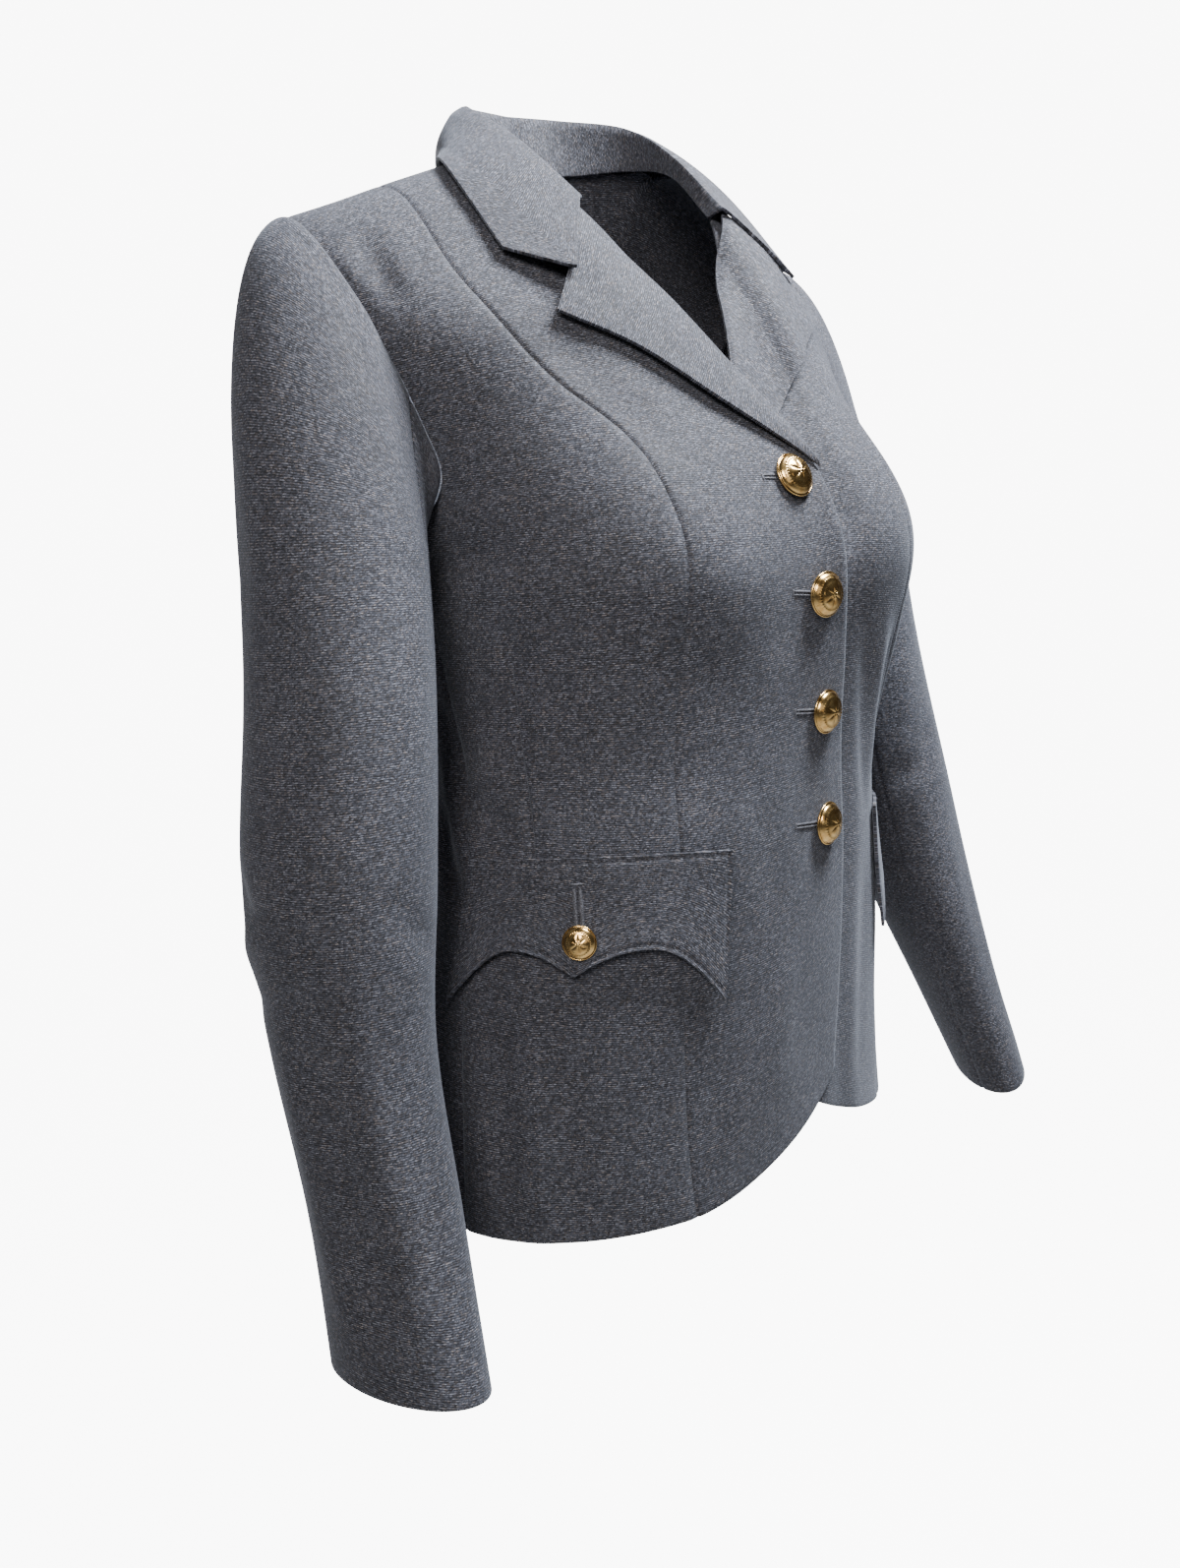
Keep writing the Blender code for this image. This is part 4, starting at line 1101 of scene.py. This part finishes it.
def flap_place(across, down):
    """Turn and height of a place on the right flap: across from -1 at its front to 1 at its side."""
    share = (across + 1) / 2
    z = FLAP_TOP_Z + FLAP_RISE * share + FLAP_CROWN * (1 - across ** 2) - down * flap_depth(across)
    start = turn_at(FLAP_FRONT_X + FLAP_FRONT_SLANT * down, FLAP_TOP_Z)
    end = FLAP_SIDE_TURN + FLAP_SIDE_FLARE * down
    return start + (end - start) * (share + FLAP_LEAN * share * (1 - share)), z


def flap_points(side):
    """A flap laid on the folded form, standing a little off it at its lower edge."""
    across = 2 * crowded(110)[None, :] - 1
    down = crowded(50)[::-1, None]
    turn, z = flap_place(across, down)
    points = pressed(form_point(turn, z), side)
    inside = np.minimum(edge_distance(points), edge_distance(points.swapaxes(0, 1)).T)
    groove = STITCH_GROOVE * bell(inside - STITCH_INSET, STITCH_GROOVE_WIDTH)
    lift = LIFT + CLOTH + FLAP_FLY * down ** 2 + FLAP_ENDS_FLY * np.abs(across) ** 8 - groove
    return points + normals(points) * lift[..., None]


def worn(points, left):
    """Points of the right half of the form as worn on either side."""
    return settled(stance(points * (np.array([-1, 1, 1]) if left else 1)))


def laid(points, node):
    """Points moved onto a piece's surface, along the normal of its nearest corner, and those normals."""
    surface = SURFACES[node].reshape(-1, 3)
    out = normals(SURFACES[node]).reshape(-1, 3)
    near = ((surface - points[:, None]) ** 2).sum(-1).argmin(1)
    above = ((points - surface[near]) * out[near]).sum(1)
    return points - out[near] * above[:, None], out[near]


def evenly(points, step):
    """Points at even steps along a line."""
    run = run_along(points, 0)
    at = np.linspace(0, run[-1], max(2, round(run[-1] / step)))
    return np.stack([np.interp(at, run, points[:, axis]) for axis in range(3)], -1)


def spotted(name, values, scale, stops, detail=2.0):
    """A material coloured by a fine noise through a colour ramp, and the noise."""
    made, tree, shader = new_material(name, values)
    place = add_node(tree, "TexCoord")
    noise = add_node(tree, "TexNoise", {"Scale": scale, "Detail": detail})
    colour = color_ramp(tree, stops)
    tree.links.new(place.outputs["Object"], noise.inputs["Vector"])
    tree.links.new(noise.outputs["Fac"], colour.inputs["Fac"])
    tree.links.new(colour.outputs["Color"], shader.inputs["Base Color"])
    return made, tree, shader, noise


# Sewing thread a little lighter than the cloth, uneven along its twist
THREAD = spotted("sewing_thread", {"Roughness": 0.62}, 1400.0, THREAD_STOPS)[0]


def sewing(name, corners, faces):
    """A sewn detail as one object of thread."""
    piece = put(name, smooth_mesh(name, corners, faces, THREAD))
    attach(piece, "root")


def stitches(name, lines, node):
    """Rows of stitches on a piece: one small rounded bead of thread to each step of the lines."""
    ball = bmesh.new()
    bmesh.ops.create_icosphere(ball, subdivisions=1, radius=1.0)
    bead = np.array([vert.co for vert in ball.verts])
    bead_faces = np.array([[vert.index for vert in face.verts] for face in ball.faces])
    ball.free()
    corners = []
    for line in lines:
        at, out = laid(evenly(line, STITCH_STEP), node)
        along = unit(np.gradient(at, axis=0))
        aside = np.cross(out, along)
        axes = np.stack([along * STITCH_SIZE[0], aside * STITCH_SIZE[1], out * STITCH_SIZE[2]], 1)
        corners.append(at[:, None] + np.einsum("pk,nkc->npc", bead, axes))
    corners = np.concatenate(corners)
    faces = bead_faces[None] + np.arange(len(corners))[:, None, None] * len(bead)
    sewing(name, corners, faces.reshape(-1, 3))


def cord(start, end, node, aside, width, height):
    """A rounded cord of thread laid on a piece from start to end, moved aside, its ends tapered."""
    at, out = laid(start + (end - start) * np.linspace(0, 1, 24)[:, None], node)
    side = unit(np.cross(out, np.gradient(at, axis=0)))
    turn = np.linspace(0, 2 * math.pi, 10, endpoint=False)
    taper = (1 - np.linspace(-1, 1, 24) ** 6)[:, None] ** 0.5 * 0.98 + 0.02
    across = aside + taper * np.cos(turn) * width / 2
    above = taper * np.sin(turn) * height
    return at[:, None] + side[:, None] * across[..., None] + out[:, None] * above[..., None]


def buttonhole(name, start, end, node, width):
    """A worked buttonhole: two cords of thread on either side of the slit and a bar across its far end."""
    line = unit(end - start)
    out = laid(end[None], node)[1][0]
    across = np.cross(out, line)
    bar_at = end + line * 0.25 * width
    bar_reach = across * 0.6 * width
    cords = [cord(start, end, node, sign * 0.29 * width, 0.42 * width, CORD_HEIGHT) for sign in (-1, 1)]
    cords.append(cord(bar_at - bar_reach, bar_at + bar_reach, node, 0.0, BAR_WIDTH, BAR_HEIGHT))
    rows, columns = cords[0].shape[:2]
    faces = grid_faces(rows, columns, closed=True)
    faces = np.concatenate([faces + number * rows * columns for number in range(len(cords))])
    sewing(name, np.concatenate(cords), faces)


for side, left in SIDES:
    points = stance(mirrored(flap_points(side), left))
    cloth(f"pocket_flap_{side}", points)
    run = np.linspace(-0.965, 0.965, 400)
    drop = np.linspace(0.04, 0.95, 60)
    lines = [worn(form_point(*flap_place(across, down)), left) for across, down in (
        (run, 0 * run + 0.045), (run, 1 - STITCH_INSET / flap_depth(run)),
        (0 * drop - 0.962, drop), (0 * drop + 0.962, drop))]
    stitches(f"flap_stitches_{side}", lines, f"pocket_flap_{side}")
    ends = np.stack([form_point(*flap_place(*place)) for place in ((0.0, FLAP_BUTTON_DOWN), FLAP_HOLE)])
    start, end = worn(ends, left)
    buttonhole(f"flap_buttonhole_{side}", start, end, f"pocket_flap_{side}", FLAP_HOLE_WIDTH)


# Buttons: stamped gilt brass with a rolled rim, four down the front and one on each flap.
# The stamped device is a plain rosette of petals in a beaded ring, on a domed face.

FRONT_BUTTON = 0.026
FRONT_BUTTON_PLACES = ((-0.0030, -0.2420), (-0.0070, -0.3085), (-0.0070, -0.3750), (-0.0050, -0.4415))
FRONT_HOLE_ENDS = ((0.0190, -0.2400), (0.0165, -0.3050), (0.0185, -0.3720), (0.0240, -0.4390))
FRONT_HOLE_WIDTH = 0.0034
FLAP_BUTTON = 0.019
GILT_STOPS = ((0.30, (0.60, 0.33, 0.10, 1)), (0.62, (0.90, 0.60, 0.24, 1)))
SHANK_FOOT = 0.0004
SHANK_TOP = 0.0018

# Shares of the button's radius, and how many petals and beads are stamped on its dome
SHANK_RADIUS = 0.20
BACK_RADIUS = 0.88
RIM_RISE = 0.17
RIM_CENTRE = (0.955, -0.06)
RIM_THICK = (0.045, 0.055)
DOME_RADIUS = 0.90
DOME_SINK = 0.07
DOME_RISE = 0.44
DOME_FLATNESS = 0.96
PETALS = 6
PETAL_REACH = 0.62
PETAL_RISE = 0.075
CENTRE_SIZE = 0.12
CENTRE_RISE = 0.08
BEADS = 32
BEAD_RING = 0.78
BEAD_SIZE = 0.045
BEAD_RISE = 0.045


def gilt_material():
    """Polished gilt, dulled and darkened a little in patches."""
    made, tree, shader, tarnish = spotted("gilt_brass", {"Metallic": 1.0}, 260.0, GILT_STOPS, 4.0)
    rough = add_node(tree, "MapRange", {"To Min": 0.12, "To Max": 0.28})
    tree.links.new(tarnish.outputs["Fac"], rough.inputs["Value"])
    tree.links.new(rough.outputs["Result"], shader.inputs["Roughness"])
    return made


GILT = gilt_material()


def button_surface(diameter):
    """A button about its axis: shank, back and rim as a turned profile, then the stamped dome."""
    r = diameter / 2
    rim = SHANK_TOP + RIM_RISE * r
    post = SHANK_RADIUS * r
    roll = np.linspace(-0.5, 1, 9)[:, None] * math.pi
    shank = [(0.0, SHANK_FOOT), (post, SHANK_FOOT), (post, SHANK_TOP), (BACK_RADIUS * r, SHANK_TOP)]
    ring = np.concatenate([np.cos(roll), np.sin(roll)], 1) * RIM_THICK
    rolled = (ring + RIM_CENTRE) * r + (0.0, rim)
    profile = np.concatenate([shank, rolled])
    share = np.linspace(1, 0, 30)
    turn = np.linspace(0, 2 * math.pi, 96, endpoint=False)
    arch = DOME_RISE * np.sqrt(1 - (DOME_FLATNESS * share) ** 2) - DOME_SINK
    radius = np.concatenate([profile[:, 0], DOME_RADIUS * r * share])
    height = np.concatenate([profile[:, 1], rim + arch * r])
    relief = np.zeros((len(radius), len(turn)))
    dome = share[:, None]
    petals = np.clip(PETAL_REACH - dome, 0, 1) ** 0.5 * np.abs(np.cos(PETALS / 2 * turn)) ** 0.6
    petals = petals * (dome > CENTRE_SIZE + 0.01)
    centre = bell(dome, CENTRE_SIZE)
    beads = bell(dome - BEAD_RING, BEAD_SIZE) * (1 + np.cos(BEADS * turn)) / 2
    relief[len(profile):] = r * (PETAL_RISE * petals + CENTRE_RISE * centre + BEAD_RISE * beads)
    x = radius[:, None] * np.cos(turn)
    y = radius[:, None] * np.sin(turn)
    return np.stack([x, y, height[:, None] + relief], -1)


def surface_place(turn, z, lift, left=False):
    """A point of the form moved out, and the form's normal there."""
    turns = turn + np.array([-0.01, 0.0, 0.01])
    heights = z + np.array([-0.002, 0.0, 0.002])
    points = form_point(turns[None, :], heights[:, None])
    out = normals(points)[1, 1]
    mirror = np.array([-1, 1, 1]) if left else np.ones(3)
    ends = stance(np.stack([points[1, 1], points[1, 1] + out * 0.01]) * mirror)
    out = unit(ends[1] - ends[0])
    return ends[0] + out * lift, out


def button(node, diameter, place, out):
    """A stamped button with its axis along the cloth's normal, in the place of its solid."""
    points = button_surface(diameter)
    turned = np.array(Vector(out).to_track_quat("Z", "Y").to_matrix())
    points = points @ turned.T + place
    faces = grid_faces(*points.shape[:2], closed=True)
    piece = put(f"{node}_gilt", smooth_mesh(f"{node}_gilt", points, faces, GILT))
    weld = piece.modifiers.new("poles", "WELD")
    weld.merge_threshold = 0.00002
    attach(piece, "root")
    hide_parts(node)


for number, (x, z) in enumerate(FRONT_BUTTON_PLACES, 1):
    place, out = surface_place(turn_at(x, z), z, 0.0)
    button(f"front_button_{number}", FRONT_BUTTON, place, out)
    far_x, far_z = FRONT_HOLE_ENDS[number - 1]
    ends = np.stack([form_point(turn_at(x, z), z), form_point(turn_at(far_x, far_z), far_z)])
    start, end = worn(ends, False)
    buttonhole(f"front_buttonhole_{number}", start, end, "front_right", FRONT_HOLE_WIDTH)
for side, left in SIDES:
    turn, z = flap_place(0.0, FLAP_BUTTON_DOWN)
    place, out = surface_place(turn, z, LIFT + CLOTH + FLAP_FLY * FLAP_BUTTON_DOWN ** 2, left)
    button(f"flap_button_{side}", FLAP_BUTTON, place, out)
